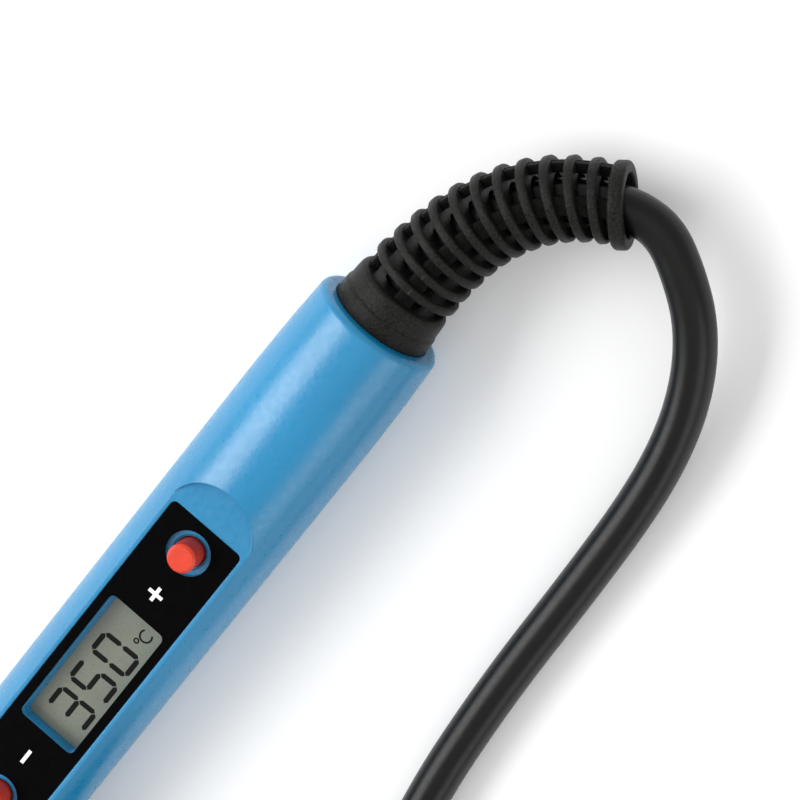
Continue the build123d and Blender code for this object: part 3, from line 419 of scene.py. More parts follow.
def tie_strap():
    """Woven hook-and-loop strap: ribs across it, nap on its face."""
    finish = Finish("tie_strap", srgb(20, 20, 21), 0.85, Sheen_Weight=0.15, Sheen_Roughness=0.4)
    rows = finish.wave(finish.axis("X"), 0.7 * MM)
    picks = finish.wave(finish.math("ADD", finish.axis("Y"), finish.axis("Z")), 0.5 * MM)
    weave = finish.math("MULTIPLY", rows, picks)
    nap = finish.noise(0.12 * MM, 3.0, roughness=0.7)
    finish.mottle(finish.math("ADD", finish.math("MULTIPLY", weave, 0.12), nap), 0.6, 1.7)
    finish.relief(weave, 0.05 * MM)
    finish.relief(nap, 0.05 * MM)
    return finish.material


def printed_ink(name, tone, roughness, **sockets):
    """Screen-printed ink, a little uneven where the mesh left it thin."""
    finish = Finish(name, tone, roughness, **sockets)
    finish.mottle(finish.noise(0.12 * MM, 3.0), 0.93, 1.02)
    finish.gloss(finish.noise(0.3 * MM, 3.0), roughness - 0.06, roughness + 0.08)
    finish.relief(finish.noise(0.1 * MM, 2.0), 0.0015 * MM)
    return finish.material


def banded(name, tone, stripe, pitch):
    """Colour bands along X, as on a resistor's lacquer or an earth wire's cover."""
    finish = Finish(name, tone, 0.35, Coat_Weight=0.4, Coat_Roughness=0.1)
    band = finish.ranged(finish.wave(finish.axis("X"), pitch), 0.55, 0.62)
    finish.paint(finish.mix(band, tone, stripe))
    finish.relief(finish.noise(0.3 * MM, 2.0), 0.01 * MM)
    return finish.material


FINISHES = {
    "handle_plastic": handle_plastic(),
    "screw_steel": metal("screw_steel", srgb(176, 174, 170), 0.34, (1, 1, 1)),
    "overlay_film": overlay_film(),
    "circuit_board": circuit_board(),
    "switch_plastic": moulded("switch_plastic", srgb(26, 26, 28), 0.42),
    "button_plastic": button_plastic(),
    "holder_plastic": moulded("holder_plastic", srgb(28, 28, 30), 0.6, edge=0.1 * MM),
    "contact_rubber": moulded("contact_rubber", srgb(66, 62, 70), 0.65, height=0.01 * MM),
    "display_glass": display_glass(),
    "capacitor_case": moulded("capacitor_case", srgb(196, 164, 40), 0.32, edge=0.15 * MM),
    "capacitor_can": metal("capacitor_can", srgb(200, 202, 204), 0.32, (6, 1, 1)),
    "chip_resin": moulded("chip_resin", srgb(30, 30, 31), 0.6, grain=0.12 * MM, edge=0.06 * MM),
    "resistor_body": banded("resistor_body", srgb(70, 118, 150), srgb(120, 60, 30), 1.6 * MM),
    "cord_sheath": cord_sheath(),
    "live_cover": moulded("live_cover", srgb(112, 62, 34), 0.4, height=0.002 * MM),
    "neutral_cover": moulded("neutral_cover", srgb(36, 84, 176), 0.4, height=0.002 * MM),
    "earth_cover": banded("earth_cover", srgb(58, 140, 56), srgb(226, 206, 44), 5 * MM),
    "lead_sleeve": moulded("lead_sleeve", srgb(226, 222, 212), 0.7, 0.15 * MM, 0.02 * MM),
    "sensor_cover": moulded("sensor_cover", srgb(206, 48, 40), 0.42, height=0.002 * MM),
    "socket_brass": metal("socket_brass", srgb(204, 168, 96), 0.3, (1, 1, 1)),
    "heater_ceramic": moulded("heater_ceramic", srgb(232, 226, 214), 0.55, grain=0.1 * MM),
    "contact_steel": metal("contact_steel", srgb(186, 186, 182), 0.28, (1, 1, 1)),
    "tube_steel": tube_steel(),
    "tip_plating": tip_plating(),
    "nut_steel": metal("nut_steel", srgb(188, 186, 182), 0.26, (10, 1, 1)),
    "grip_silicone": grip_silicone(),
    "relief_rubber": relief_rubber(),
    "tie_strap": tie_strap(),
    "plug_plastic": moulded("plug_plastic", srgb(24, 24, 24), 0.5, 0.35 * MM, 0.02 * MM, 0.5 * MM),
    "pin_brass": metal("pin_brass", srgb(206, 198, 180), 0.24, (14, 1, 1)),
}

for part in frame["record"]["subparts"]:
    node = frame["nodes"][part["node"]]
    node.data.materials.clear()
    node.data.materials.append(FINISHES[part["material_slot"]])


# ---------------------------------------------------------------- camera, floor and light
CAMERA_PLACE = Vector((0.3243, -0.0612, 0.6078))
CAMERA_BACK = Vector((0.3462, -0.0806, 0.9347)).normalized()
CAMERA_ROLL = math.radians(-127.1)
CAMERA_LENS, CAMERA_SENSOR = 192.0, 36.0  # millimetres
CAMERA_CLIP = 0.01

camera = new_object("camera", bpy.data.cameras.new("camera"))
camera.data.sensor_width = CAMERA_SENSOR
camera.data.lens = CAMERA_LENS
camera.data.clip_start = CAMERA_CLIP
camera.location = CAMERA_PLACE
camera.rotation_mode = "QUATERNION"
level_view = (-CAMERA_BACK).to_track_quat("-Z", "Y")
camera.rotation_quaternion = level_view @ Quaternion((0, 0, 1), CAMERA_ROLL)
bpy.context.scene.camera = camera

bpy.context.scene.view_settings.view_transform = "Standard"


LIT_POINT = Vector((REAR_X - 0.02, -0.01, AXIS_Z))
WORLD_STRENGTH = 0.64
FLOOR_SIDE, FLOOR_THICK = 8.0, 20 * MM


def soft_light(name, place, width, height, power):
    """A rectangular white light that faces the lit point, power in watts."""
    lamp = bpy.data.lights.new(name, "AREA")
    lamp.shape = "RECTANGLE"
    lamp.size, lamp.size_y = width, height
    lamp.energy = power
    holder = new_object(name, lamp)
    holder.location = place
    holder.rotation_mode = "QUATERNION"
    holder.rotation_quaternion = (LIT_POINT - Vector(place)).to_track_quat("-Z", "Y")


soft_light("key_light", (-0.20, 0.60, 0.58), 1.0, 0.58, 8.8)
soft_light("top_light", (0.25, -0.15, 0.95), 0.9, 0.9, 0.8)
soft_light("side_light", (0.05, -0.75, 0.40), 0.8, 0.4, 1.7)

world = bpy.data.worlds.new("studio")
world.use_nodes = True
background = world.node_tree.nodes["Background"].inputs
background["Color"].default_value = (1.0, 1.0, 1.0, 1.0)
background["Strength"].default_value = WORLD_STRENGTH
bpy.context.scene.world = world

floor_shape = bmesh.new()
add_plate(floor_shape, bar_outline(0.0, 0.0, FLOOR_SIDE, FLOOR_SIDE), -FLOOR_THICK, 0.0)
floor = new_object("floor", mesh_from("floor", floor_shape))
floor_finish = Finish("floor_white", srgb(250, 250, 250), 0.6, Specular_IOR_Level=0.1)
floor.data.materials.append(floor_finish.material)


# ---------------------------------------------------------------- cord
CORD_DIAMETER = 6.7 * MM
PLUG_REAR_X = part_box("plug_body")[1].x
PLUG_Y = sum(p.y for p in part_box("plug_body")) / 2
PLUG_Z = sum(p.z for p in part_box("plug_pins")) / 2

# From inside the handle's mouth round to the hank, X measured from the handle's rear end
CORD_ROUTE = [
    (-0.0030, 0.0000, 0.0108),
    (0.0055, 0.0000, 0.0108),
    (0.0130, -0.0007, 0.0108),
    (0.0205, -0.0022, 0.0108),
    (0.0269, -0.0052, 0.0107),
    (0.0318, -0.0090, 0.0106),
    (0.0354, -0.0136, 0.0104),
    (0.0381, -0.0188, 0.0101),
    (0.0384, -0.0246, 0.0096),
    (0.0350, -0.0306, 0.0089),
    (0.0304, -0.0363, 0.0080),
    (0.0236, -0.0411, 0.0069),
    (0.0147, -0.0447, 0.0056),
    (0.0030, -0.0469, 0.0043),
    (-0.0140, -0.0479, 0.0035),
    (-0.0360, -0.0486, 0.0034),
    (-0.0590, -0.0510, 0.0034),
    (-0.0820, -0.0570, 0.0034),
    (-0.1010, -0.0664, 0.0034),
    (-0.1145, -0.0716, 0.0034),
]

# The hank: two round ends that the cord goes round in two lanes and two layers, and a tied waist
HANK_SIDE = sum(p.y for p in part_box("cord_hank")) / 2
HANK_RADIUS = (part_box("cord_hank")[1].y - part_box("cord_hank")[0].y) / 2
HANK_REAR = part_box("cord_hank")[1].x - HANK_RADIUS
HANK_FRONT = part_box("cord_hank")[0].x + HANK_RADIUS
HANK_MIDDLE = (HANK_REAR + HANK_FRONT) / 2
LANE = 7.0 * MM
OUTER_TURN = HANK_RADIUS - CORD_DIAMETER / 2
INNER_TURN = OUTER_TURN - LANE
INNER_WAIST, OUTER_WAIST = LANE / 2, LANE * 3 / 2
LOWER, UPPER = 3.4 * MM, 10.2 * MM
WAIST_LIFT = 1.0 * MM
WAIST_HALF = 8.0 * MM
TURN_LEAN = math.radians(31)
TURN_STEPS = 5
SPLINE_STEPS, CORD_ROUNDNESS = 16, 7


def eased(start, end, share, span):
    """From start to end with soft ends, over that span of the shares."""
    return start + (end - start) * smooth_step((share - span[0]) / (span[1] - span[0]))


def hank_turn(
    centre, facing, start_radius, end_radius, start_z, end_z, lane=(0.0, 1.0), rise=(0.0, 1.0)
):
    """Control points clockwise round one end of the hank, and one on the straight at each side.

    The radius changes over the lane's span of the turn and the height over the rise's.
    """
    sweep = math.pi + 2 * TURN_LEAN
    step = sweep / TURN_STEPS
    lead = 2 * math.tan(step / 2)
    points = []
    for i in range(-1, TURN_STEPS + 1):
        share = (i + 0.5) / TURN_STEPS
        on_turn = min(max(i, 0), TURN_STEPS - 1)
        angle = facing * math.pi / 2 + TURN_LEAN - step * (on_turn + 0.5)
        radius = eased(start_radius, end_radius, share, lane)
        height = eased(start_z, end_z, share, rise)
        reach = radius / math.cos(step / 2)
        x, y = centre + reach * math.cos(angle), HANK_SIDE + reach * math.sin(angle)
        if i != on_turn:
            heading = facing * math.pi / 2 + TURN_LEAN - (0 if i < 0 else sweep)
            ahead = lead * radius * (-1 if i < 0 else 1)
            x, y = x + ahead * math.sin(heading), y - ahead * math.cos(heading)
        points.append((x, y, height))
    return points


def hank_waist(side, offset, height):
    """Two control points where a lane passes through the tie."""
    return [
        (HANK_MIDDLE + step * side * WAIST_HALF, HANK_SIDE + side * offset, height + WAIST_LIFT)
        for step in (-1, 1)
    ]


def cord_points():
    """Every control point of the cord, from the handle to the plug."""
    rear, front = HANK_REAR, HANK_FRONT
    points = [(REAR_X + x, y, z) for x, y, z in CORD_ROUTE]
    points += hank_turn(rear, 1, OUTER_TURN, OUTER_TURN, LOWER, LOWER)[-2:]
    points += hank_waist(-1, OUTER_WAIST, LOWER)
    points += hank_turn(front, -1, OUTER_TURN, OUTER_TURN, LOWER, LOWER)
    points += hank_waist(1, OUTER_WAIST, LOWER)
    points += hank_turn(rear, 1, OUTER_TURN, INNER_TURN, LOWER, LOWER, lane=(0.45, 1.0))
    points += hank_waist(-1, INNER_WAIST, LOWER)
    points += hank_turn(front, -1, INNER_TURN, INNER_TURN, LOWER, LOWER)
    points += hank_waist(1, INNER_WAIST, LOWER)
    points += hank_turn(rear, 1, INNER_TURN, INNER_TURN, LOWER, UPPER, rise=(0.15, 0.6))
    points += hank_waist(-1, INNER_WAIST, UPPER)
    points += hank_turn(front, -1, INNER_TURN, INNER_TURN, UPPER, UPPER)
    points += hank_waist(1, INNER_WAIST, UPPER)
    points += hank_turn(rear, 1, INNER_TURN, OUTER_TURN, UPPER, UPPER, lane=(0.0, 0.45))
    points += hank_waist(-1, OUTER_WAIST, UPPER)
    points += hank_turn(front, -1, OUTER_TURN, OUTER_TURN, UPPER, UPPER)[:2]
    points += [
        (HANK_FRONT - 0.0150, -0.0735, 0.0104),
        (PLUG_REAR_X + 0.0250, -0.0696, 0.0116),
        (PLUG_REAR_X + 0.0100, -0.0638, 0.0154),
        (PLUG_REAR_X, PLUG_Y, PLUG_Z),
    ]
    return points


def spline_curve(name, points):
    """A smooth open NURBS curve with those control points."""
    data = bpy.data.curves.new(name, "CURVE")
    data.dimensions = "3D"
    spline = data.splines.new("NURBS")
    spline.points.add(len(points) - 1)
    for target, point in zip(spline.points, points):
        target.co = (*point, 1.0)
    spline.order_u = 3
    spline.use_endpoint_u = True
    spline.resolution_u = SPLINE_STEPS
    return data


cord_data = spline_curve("power_cord_line", cord_points())
line_object = new_object("line", cord_data)
line_mesh = bpy.data.meshes.new_from_object(line_object)
line = [vertex.co.copy() for vertex in line_mesh.vertices]
bpy.data.objects.remove(line_object)
cord_data.bevel_depth = CORD_DIAMETER / 2
cord_data.bevel_resolution = CORD_ROUNDNESS
cord_data.use_fill_caps = True
mains_cord = new_piece("mains_cord", cord_data, FINISHES["cord_sheath"])
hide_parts("power_cord", "cord_hank", "cord_to_plug")


LINE_REACH = 0.3 * MM  # how far each way the line's direction is taken over


class Line:
    """The cord's centreline by distance along it."""

    def __init__(self, points):
        self.points = points
        self.places = [0.0]
        for here, after in zip(points, points[1:]):
            self.places.append(self.places[-1] + (after - here).length)

    def at(self, place):
        """The point so far along."""
        for i, reached in enumerate(self.places[1:], 1):
            if reached >= place:
                share = (place - self.places[i - 1]) / (reached - self.places[i - 1])
                return self.points[i - 1].lerp(self.points[i], share)
        return self.points[-1]

    def frame(self, place):
        """The point, the direction ahead, the way up and the way to the right."""
        before, after = max(place - LINE_REACH, 0.0), place + LINE_REACH
        ahead = (self.at(after) - self.at(before)).normalized()
        up = (Vector((0, 0, 1)) - ahead * ahead.z).normalized()
        return self.at(place), ahead, up, ahead.cross(up)


centreline = Line(line)


# ---------------------------------------------------------------- bend relief
ROOT = 3.0 * MM  # the cord's line starts this far inside the handle
RIBS = 11
RIB_PITCH, RIB_THICK, FIRST_RIB = 3.17 * MM, 1.5 * MM, 8.9 * MM
FIRST_RIB_RADIUS, LAST_RIB_RADIUS = 7.6 * MM, 6.3 * MM
END_RING_PLACE = FIRST_RIB + RIB_PITCH * RIBS + 0.1 * MM
END_RING_THICK, END_RING_RADIUS = 2.3 * MM, 6.65 * MM
RELIEF_BORE, LAST_BORE, END_BORE = 3.45 * MM, 3.9 * MM, 4.8 * MM
COLLAR_END = 6.2 * MM
WEB_WIDTH, WEB_RECESS, WEB_THICK = 2.9 * MM, 0.7 * MM, 1.4 * MM
WEB_TURN, WEB_TWIST = math.radians(13), math.radians(-12)
WEB_STEP = RIB_PITCH / 6
WELD = 0.002 * MM
RING_LAG, RING_SHIFT = 7.5 * MM, 0.35 * MM  # how late the end ring turns, and how far out it sits
SEAM_HEIGHT, SEAM_WIDTH = 0.07 * MM, 0.16 * MM
SEAM_ANGLE = SEAM_WIDTH / FIRST_RIB_RADIUS
SEAM_DEPTH = 0.6 * MM  # how far in from a ring's outermost face the seam still shows
ROUND_STEPS = 80
RIB_EDGE, END_RING_EDGE, END_BORE_EDGE = 0.42 * MM, 0.6 * MM, 0.35 * MM


def round_angles():
    """Angles round the relief, closer together at its two mould seams."""
    angles = [2 * math.pi * i / ROUND_STEPS for i in range(ROUND_STEPS)]
    for seam in (WEB_TURN, WEB_TURN + math.pi):
        angles = [a for a in angles if abs(a - seam) > 2.5 * SEAM_ANGLE]
        angles += [seam + share * SEAM_ANGLE for share in (-1.0, -0.5, 0.0, 0.5, 1.0)]
    return sorted(angles)


def seam_height(angle):
    """How far the mould seam stands out at an angle."""
    gap = min(abs(angle - WEB_TURN), abs(angle - WEB_TURN - math.pi))
    return SEAM_HEIGHT if gap < 0.75 * SEAM_ANGLE else 0.0


def rounded_profile(low, high, inner, outer, edge, inner_edge=0.15 * MM, steps=4):
    """(place, radius) corners of a ring's section, its edges rounded."""
    points = []
    for centre, radius, start in (
        ((low + inner_edge, inner + inner_edge), inner_edge, 270),
        ((low + edge, outer - edge), edge, 180),
        ((high - edge, outer - edge), edge, 90),
        ((high - inner_edge, inner + inner_edge), inner_edge, 0),
    ):
        points += quarter_turn(centre, radius, start, -1, steps)
    return points


def relief_frame(place):
    """The relief's centre, direction, way up and way right so far out. It bends after the cord."""
    late = (max(place, 0.0) / END_RING_PLACE) ** 2
    _, ahead, up, right = centreline.frame(ROOT + place - RING_LAG * late)
    centre = centreline.at(ROOT + place) - right * (RING_SHIFT * late)
    twist = WEB_TWIST * max(place, 0.0) / END_RING_PLACE
    turned_up = up * math.cos(twist) + right * math.sin(twist)
    return centre, ahead, turned_up, ahead.cross(turned_up)


def add_ring(shape, place, section):
    """A ring square to the relief, from a closed section of (place, radius) points."""
    centre, ahead, up, right = relief_frame(place)
    outermost = max(radius for _, radius in section)
    loops = []
    for angle in round_angles():
        outward = up * math.cos(angle) + right * math.sin(angle)
        loop = []
        for shift, radius in section:
            rise = seam_height(angle) if radius > outermost - SEAM_DEPTH else 0.0
            loop.append(centre + ahead * shift + outward * (radius + rise))
        loops.append(loop)
    add_loops(shape, loops, closed=True)


def along_ribs(place):
    """0 at the first rib to 1 at the end ring."""
    return min(max((place - FIRST_RIB) / (RIB_PITCH * RIBS), 0.0), 1.0)


def rib_radius(place):
    """The ribs' outer radius so far from the handle."""
    taper = along_ribs(place) ** 0.8
    return FIRST_RIB_RADIUS + (LAST_RIB_RADIUS - FIRST_RIB_RADIUS) * taper


def bore_radius(place):
    """The relief's bore, which opens out towards its end."""
    return RELIEF_BORE + (LAST_BORE - RELIEF_BORE) * along_ribs(place)


def web_section(inner, outer):
    """(side, radius) corners of a web's section, side in web widths, a seam in its middle."""
    half = [
        (0.46, inner),
        (0.5, inner + 0.1 * MM),
        (0.5, outer - 0.22 * MM),
        (0.47, outer - 0.07 * MM),
        (0.42, outer),
        (0.2, outer),
        (0.045, outer),
        (0.03, outer + SEAM_HEIGHT),
    ]
    return [(-side, radius) for side, radius in half] + half[::-1]


def add_web(shape, angle):
    """One of the four bars that join the ribs, running from the collar to the end ring."""
    loops = []
    place = COLLAR_END - 1.0 * MM
    while place <= END_RING_PLACE:
        centre, ahead, up, right = relief_frame(place)
        outer = rib_radius(place) - WEB_RECESS
        inner = max(outer - WEB_THICK, bore_radius(place))
        outward = up * math.cos(angle) + right * math.sin(angle)
        across = right * math.cos(angle) - up * math.sin(angle)
        loop = []
        for side, radius in web_section(inner, outer):
            aside = side * WEB_WIDTH
            loop.append(centre + across * aside + outward * math.sqrt(radius**2 - aside**2))
        loops.append(loop)
        place += WEB_STEP
    add_loops(shape, loops)


def collar_section():
    """(place, radius) corners of the collar: a stepped cone, and a flange inside the handle."""
    flange = [(-4.8, 3.7), (-5.0, 3.9), (-5.0, 8.6), (-4.8, 8.8), (-2.3, 8.85), (-2.12, 8.7)]
    mouth = [(-2.1, 8.3), (-1.9, 8.22), (0.0, 8.22), (1.6, 8.2), (2.45, 8.16)]
    step = [(2.65, 8.08), (2.78, 7.98), (3.0, 7.94), (4.4, 7.88), (5.4, 7.8)]
    end = [(5.8, 7.68), (6.05, 7.48), (6.18, 7.15), (6.2, 6.7), (6.2, 3.9), (6.0, 3.6)]
    return [(place * MM, radius * MM) for place, radius in flange + mouth + step + end]


def bend_relief():
    """Collar, ribs, webs and end ring, joined into one moulding."""
    rings, bars = bmesh.new(), bmesh.new()
    add_ring(rings, 0.0, collar_section())
    for rib in range(RIBS):
        place = FIRST_RIB + RIB_PITCH * rib
        half = RIB_THICK / 2
        section = rounded_profile(-half, half, bore_radius(place), rib_radius(place), RIB_EDGE)
        add_ring(rings, place, section)
    half = END_RING_THICK / 2
    section = rounded_profile(-half, half, END_BORE, END_RING_RADIUS, END_RING_EDGE, END_BORE_EDGE)
    add_ring(rings, END_RING_PLACE, section)
    for quarter in range(4):
        add_web(bars, WEB_TURN + quarter * math.pi / 2)
    mesh = mesh_from("bend_relief", rings)
    relief = new_piece("bend_relief", mesh, FINISHES["relief_rubber"])
    webs = new_object("webs", mesh_from("webs", bars))
    # the webs take the darker copy of the rubber: painted shade between the ribs
    webs.data.materials.append(relief_rubber("relief_painted_shade", RUBBER_PAINTED_SHADE, PAINTED_SHADE_SPECULAR))
    union = relief.modifiers.new("union", "BOOLEAN")
    union.operation = "UNION"
    union.solver = "EXACT"
    union.material_mode = "TRANSFER"
    union.object = webs
    graph = bpy.context.evaluated_depsgraph_get()
    joined = bpy.data.meshes.new_from_object(relief.evaluated_get(graph))
    relief.modifiers.clear()
    bpy.data.objects.remove(webs)
    shape = bmesh.new()
    shape.from_mesh(joined)
    bmesh.ops.remove_doubles(shape, verts=shape.verts, dist=WELD)
    relief.data = mesh_from("bend_relief", shape, crease=40)
    for material in joined.materials:
        relief.data.materials.append(material)
    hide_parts("strain_relief")
    return relief


relief = bend_relief()


# ---------------------------------------------------------------- tie round the hank
STRAP_WIDTH, STRAP_THICK = 10.0 * MM, 0.8 * MM
STRAP_CLEAR, STRAP_EDGE = 0.1 * MM, 0.25 * MM
STRAP_HALF_WIDTH = OUTER_WAIST + CORD_DIAMETER / 2 + STRAP_THICK / 2 + STRAP_CLEAR
STRAP_LOW = LOWER + WAIST_LIFT - CORD_DIAMETER / 2 - STRAP_THICK / 2 - STRAP_CLEAR
STRAP_HIGH = UPPER + WAIST_LIFT + CORD_DIAMETER / 2 + STRAP_THICK / 2 + STRAP_CLEAR
STRAP_CORNER = CORD_DIAMETER / 2 + STRAP_THICK / 2
STRAP_OVERLAP = 9.0 * MM
STRAP_BOW = 0.12 * MM  # how far its underside bows up between its corners
LAP_HEIGHT, LAP_REACH = STRAP_THICK * 1.02, 0.6 * STRAP_OVERLAP
LAP_RISE = 1 / 3.2  # the share of the lap over which it climbs onto the strap's first end
START_STEPS, CORNER_STEPS, RUN_STEPS, LAP_STEPS = 6, 8, 8, 12


def strap_path():
    """(across, height, outward) along the strap, once round the waist and on over its own start."""
    path = []
    middle_low, middle_high = STRAP_LOW + STRAP_CORNER, STRAP_HIGH - STRAP_CORNER
    side = STRAP_HALF_WIDTH - STRAP_CORNER

    def corner(centre_y, centre_z, start):
        for out in quarter_turn((0.0, 0.0), 1.0, start, -1, CORNER_STEPS):
            path.append((centre_y + STRAP_CORNER * out[0], centre_z + STRAP_CORNER * out[1], out))

    # its first end, which the other end laps over
    for i in range(START_STEPS):
        path.append((-STRAP_OVERLAP + 2 * STRAP_OVERLAP * i / START_STEPS, STRAP_HIGH, (0, 1)))
    corner(side, middle_high, 90)
    corner(side, middle_low, 0)
    for i in range(1, RUN_STEPS):
        share = i / RUN_STEPS
        bow = STRAP_BOW * math.sin(math.pi * share)
        path.append((side * (1 - 2 * share), STRAP_LOW + bow, (0, -1)))
    corner(-side, middle_low, 270)
    corner(-side, middle_high, 180)
    for i in range(1, LAP_STEPS + 1):
        share = i / LAP_STEPS
        lift = LAP_HEIGHT * smooth_step(share / LAP_RISE)
        path.append((-side + share * (side + LAP_REACH), STRAP_HIGH + lift, (0, 1)))
    return path


def hank_strap():
    """A hook-and-loop strap with soft edges."""
    half, thick, edge = STRAP_WIDTH / 2, STRAP_THICK / 2, STRAP_EDGE
    face = [
        (-half, -thick + edge),
        (-half + edge, -thick),
        (-half / 2, -thick),
        (0, -thick),
        (half / 2, -thick),
        (half - edge, -thick),
        (half, -thick + edge),
    ]
    section = face + [(x, -n) for x, n in face[::-1]]
    shape = bmesh.new()
    loops = []
    for across, height, out in strap_path():
        loops.append(
            [
                (HANK_MIDDLE + x, HANK_SIDE + across + out[0] * n, height + out[1] * n)
                for x, n in section
            ]
        )
    add_loops(shape, loops)
    mesh = mesh_from("cord_strap", shape, crease=50)
    strap = new_piece("cord_strap", mesh, FINISHES["tie_strap"])
    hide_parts("hank_tie")
    return strap


strap = hank_strap()


# ---------------------------------------------------------------- marks on the panel
INK = printed_ink("white_ink", srgb(245, 245, 245), 0.5)
SEGMENT_INK = printed_ink("segment_ink", srgb(10, 11, 8), 0.45, Specular_IOR_Level=0.12)
INK_THICK = 0.03 * MM
MARK_LENGTH, MARK_WIDTH = 2.6 * MM, 0.6 * MM
MARK_SHIFT = 8.6 * MM  # from a button's centre to its mark, towards the display


def cross_outline(centre_x, centre_y, length, width):
    """Corners of an upright cross."""
    a, b = length / 2, width / 2
    half = [(a, -b), (a, b), (b, b), (b, a), (-b, a), (-b, b)]
    return [(centre_x + x, centre_y + y) for x, y in half + [(-x, -y) for x, y in half]]


marks = bmesh.new()
plus = cross_outline(PLUS_X - MARK_SHIFT, 0.0, MARK_LENGTH, MARK_WIDTH)
minus = bar_outline(MINUS_X + MARK_SHIFT, 0.0, MARK_LENGTH, MARK_WIDTH)
for outline in (plus, minus):
    add_plate(marks, outline, PANEL_TOP, PANEL_TOP + INK_THICK)
new_piece("panel_marks", mesh_from("panel_marks", marks), INK)


# ---------------------------------------------------------------- figures on the display
DIGIT_WIDTH, DIGIT_HEIGHT, DIGIT_PITCH = 4.5 * MM, 7.45 * MM, 5.9 * MM
SEGMENT_THICK, SEGMENT_GAP = 0.84 * MM, 0.1 * MM
DIGIT_SLANT = -0.04
LAST_DIGIT_X = GLASS_X + 3.95 * MM
DIGIT_Y = -0.65 * MM
READING = "350"
SEGMENTS_LIT = {"3": "abcdg", "5": "acdfg", "0": "abcdef"}
UNIT_X, UNIT_Y = GLASS_X + 9.65 * MM, -2.6 * MM  # the middle of the unit's C
UNIT_RADIUS, UNIT_STROKE = 1.0 * MM, 0.3 * MM
UNIT_START, UNIT_SWEEP = 48, 264  # degrees
DEGREE_LEFT, DEGREE_UP = 1.6 * MM, 0.75 * MM  # from the C to the degree ring
DEGREE_RADIUS, DEGREE_STROKE = 0.37 * MM, 0.24 * MM


def segment_outline(start, end):
    """A six-cornered segment between two joints."""
    sx, sy = start
    ex, ey = end
    length = math.hypot(ex - sx, ey - sy)
    ux, uy = (ex - sx) / length, (ey - sy) / length
    half = SEGMENT_THICK / 2
    corners = []
    for along, side in (
        (SEGMENT_GAP, 0),
        (SEGMENT_GAP + half, -half),
        (length - SEGMENT_GAP - half, -half),
        (length - SEGMENT_GAP, 0),
        (length - SEGMENT_GAP - half, half),
        (SEGMENT_GAP + half, half),
    ):
        corners.append((sx + ux * along - uy * side, sy + uy * along + ux * side))
    return corners


def add_digit(shape, digit, centre_x):
    """A seven-segment digit that stands on the display's lower edge."""
    w, h = (DIGIT_WIDTH - SEGMENT_THICK) / 2, (DIGIT_HEIGHT - SEGMENT_THICK) / 2
    joints = {
        "a": ((-w, h), (w, h)),
        "b": ((w, h), (w, 0)),
        "c": ((w, 0), (w, -h)),
        "d": ((w, -h), (-w, -h)),
        "e": ((-w, -h), (-w, 0)),
        "f": ((-w, 0), (-w, h)),
        "g": ((-w, 0), (w, 0)),
    }
    for name in SEGMENTS_LIT[digit]:
        corners = segment_outline(*joints[name])
        outline = [(centre_x + x + y * DIGIT_SLANT, DIGIT_Y + y) for x, y in corners]
        add_plate(shape, outline, GLASS_TOP, GLASS_TOP + INK_THICK)


def add_arc(shape, centre, radius, thick, start, sweep, steps=24):
    """A thin arc or ring lying on the glass, angles in degrees."""
    top = GLASS_TOP + INK_THICK
    loops = []
    for i in range(steps + 1):
        angle = math.radians(start + sweep * i / steps)
        inner, outer = radius - thick / 2, radius + thick / 2
        loops.append(
            [
                (centre[0] + r * math.cos(angle), centre[1] + r * math.sin(angle), z)
                for r, z in ((inner, GLASS_TOP), (outer, GLASS_TOP), (outer, top), (inner, top))
            ]
        )
    if sweep >= 360:
        add_loops(shape, loops[:-1], closed=True)
    else:
        add_loops(shape, loops)


WINDOW_LENGTH, WINDOW_WIDTH, WINDOW_CORNER = 25.5 * MM, 10.6 * MM, 1.0 * MM
BEZEL_SLOPE, BEZEL_THIN = 0.6 * MM, 0.12 * MM  # how far it slopes in on its +Y side, and elsewhere
BEZEL_LIP = 0.1 * MM
BEZEL_ABOVE, BEZEL_BELOW = 0.005 * MM, 0.02 * MM  # its gaps over the glass and under the overlay
RIDGE_SHARE = 0.25  # of the way in from the bezel's outer edge to its inner one
OVERLAY_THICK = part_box("panel_overlay")[1].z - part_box("panel_overlay")[0].z


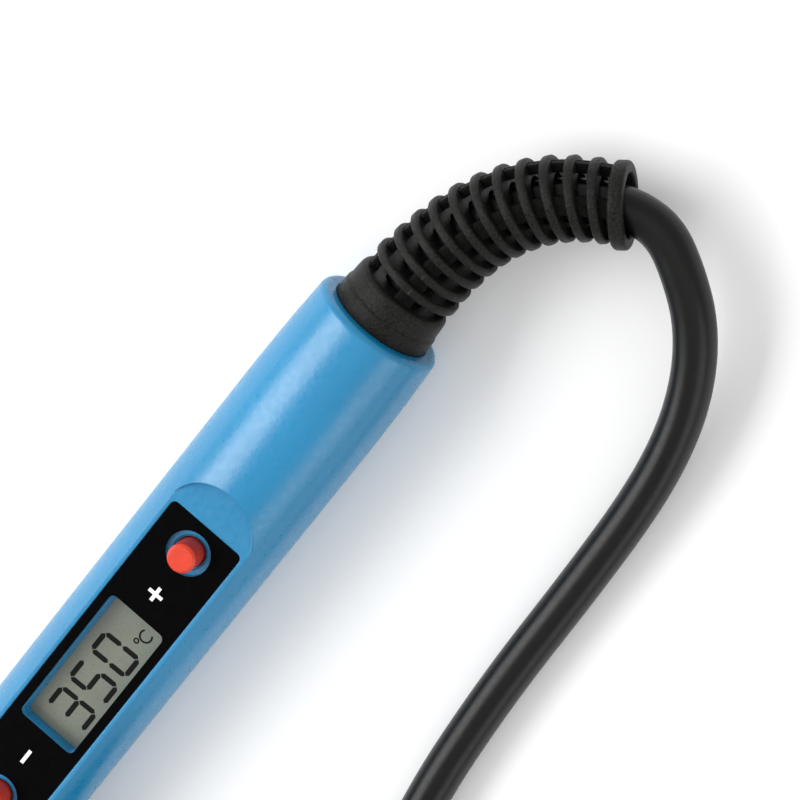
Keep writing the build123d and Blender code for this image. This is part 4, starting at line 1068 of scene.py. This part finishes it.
def rounded_outline(low_x, high_x, low_y, high_y, corner, steps=6):
    """Corners of a rectangle with rounded corners, the same number for any size."""
    outline = []
    for centre, start in (
        ((high_x - corner, high_y - corner), 0),
        ((low_x + corner, high_y - corner), 90),
        ((low_x + corner, low_y + corner), 180),
        ((high_x - corner, low_y + corner), 270),
    ):
        outline += quarter_turn(centre, corner, start, 1, steps)
    return outline


def window_bezel():
    """The sloping wall between the panel and the display, widest on its +Y side."""
    front, rear = GLASS_X - WINDOW_LENGTH / 2, GLASS_X + WINDOW_LENGTH / 2
    side = WINDOW_WIDTH / 2
    low, top = GLASS_TOP + BEZEL_ABOVE, PANEL_TOP - OVERLAY_THICK - BEZEL_BELOW
    outer = rounded_outline(front, rear, -side, side, WINDOW_CORNER)
    inner = rounded_outline(
        front + BEZEL_THIN,
        rear - BEZEL_THIN,
        -side + BEZEL_THIN,
        side - BEZEL_SLOPE,
        WINDOW_CORNER - BEZEL_THIN,
    )
    loops = []
    for (x, y), (inner_x, inner_y) in zip(outer, inner):
        ridge_x = (1 - RIDGE_SHARE) * x + RIDGE_SHARE * inner_x
        ridge_y = (1 - RIDGE_SHARE) * y + RIDGE_SHARE * inner_y
        loops.append(
            [
                (x, y, low),
                (x, y, top),
                (ridge_x, ridge_y, top),
                (inner_x, inner_y, low + BEZEL_LIP),
                (inner_x, inner_y, low),
            ]
        )
    shape = bmesh.new()
    add_loops(shape, loops, closed=True)
    mesh = mesh_from("window_bezel", shape)
    new_piece("window_bezel", mesh, FINISHES["handle_plastic"])


window_bezel()

figures = bmesh.new()
for place, digit in enumerate(reversed(READING)):
    add_digit(figures, digit, LAST_DIGIT_X - place * DIGIT_PITCH)
add_arc(figures, (UNIT_X, UNIT_Y), UNIT_RADIUS, UNIT_STROKE, UNIT_START, UNIT_SWEEP)
degree_place = (UNIT_X - DEGREE_LEFT, UNIT_Y + DEGREE_UP)
add_arc(figures, degree_place, DEGREE_RADIUS, DEGREE_STROKE, 0, 360)
figure_mesh = mesh_from("display_figures", figures)
new_piece("display_figures", figure_mesh, SEGMENT_INK)
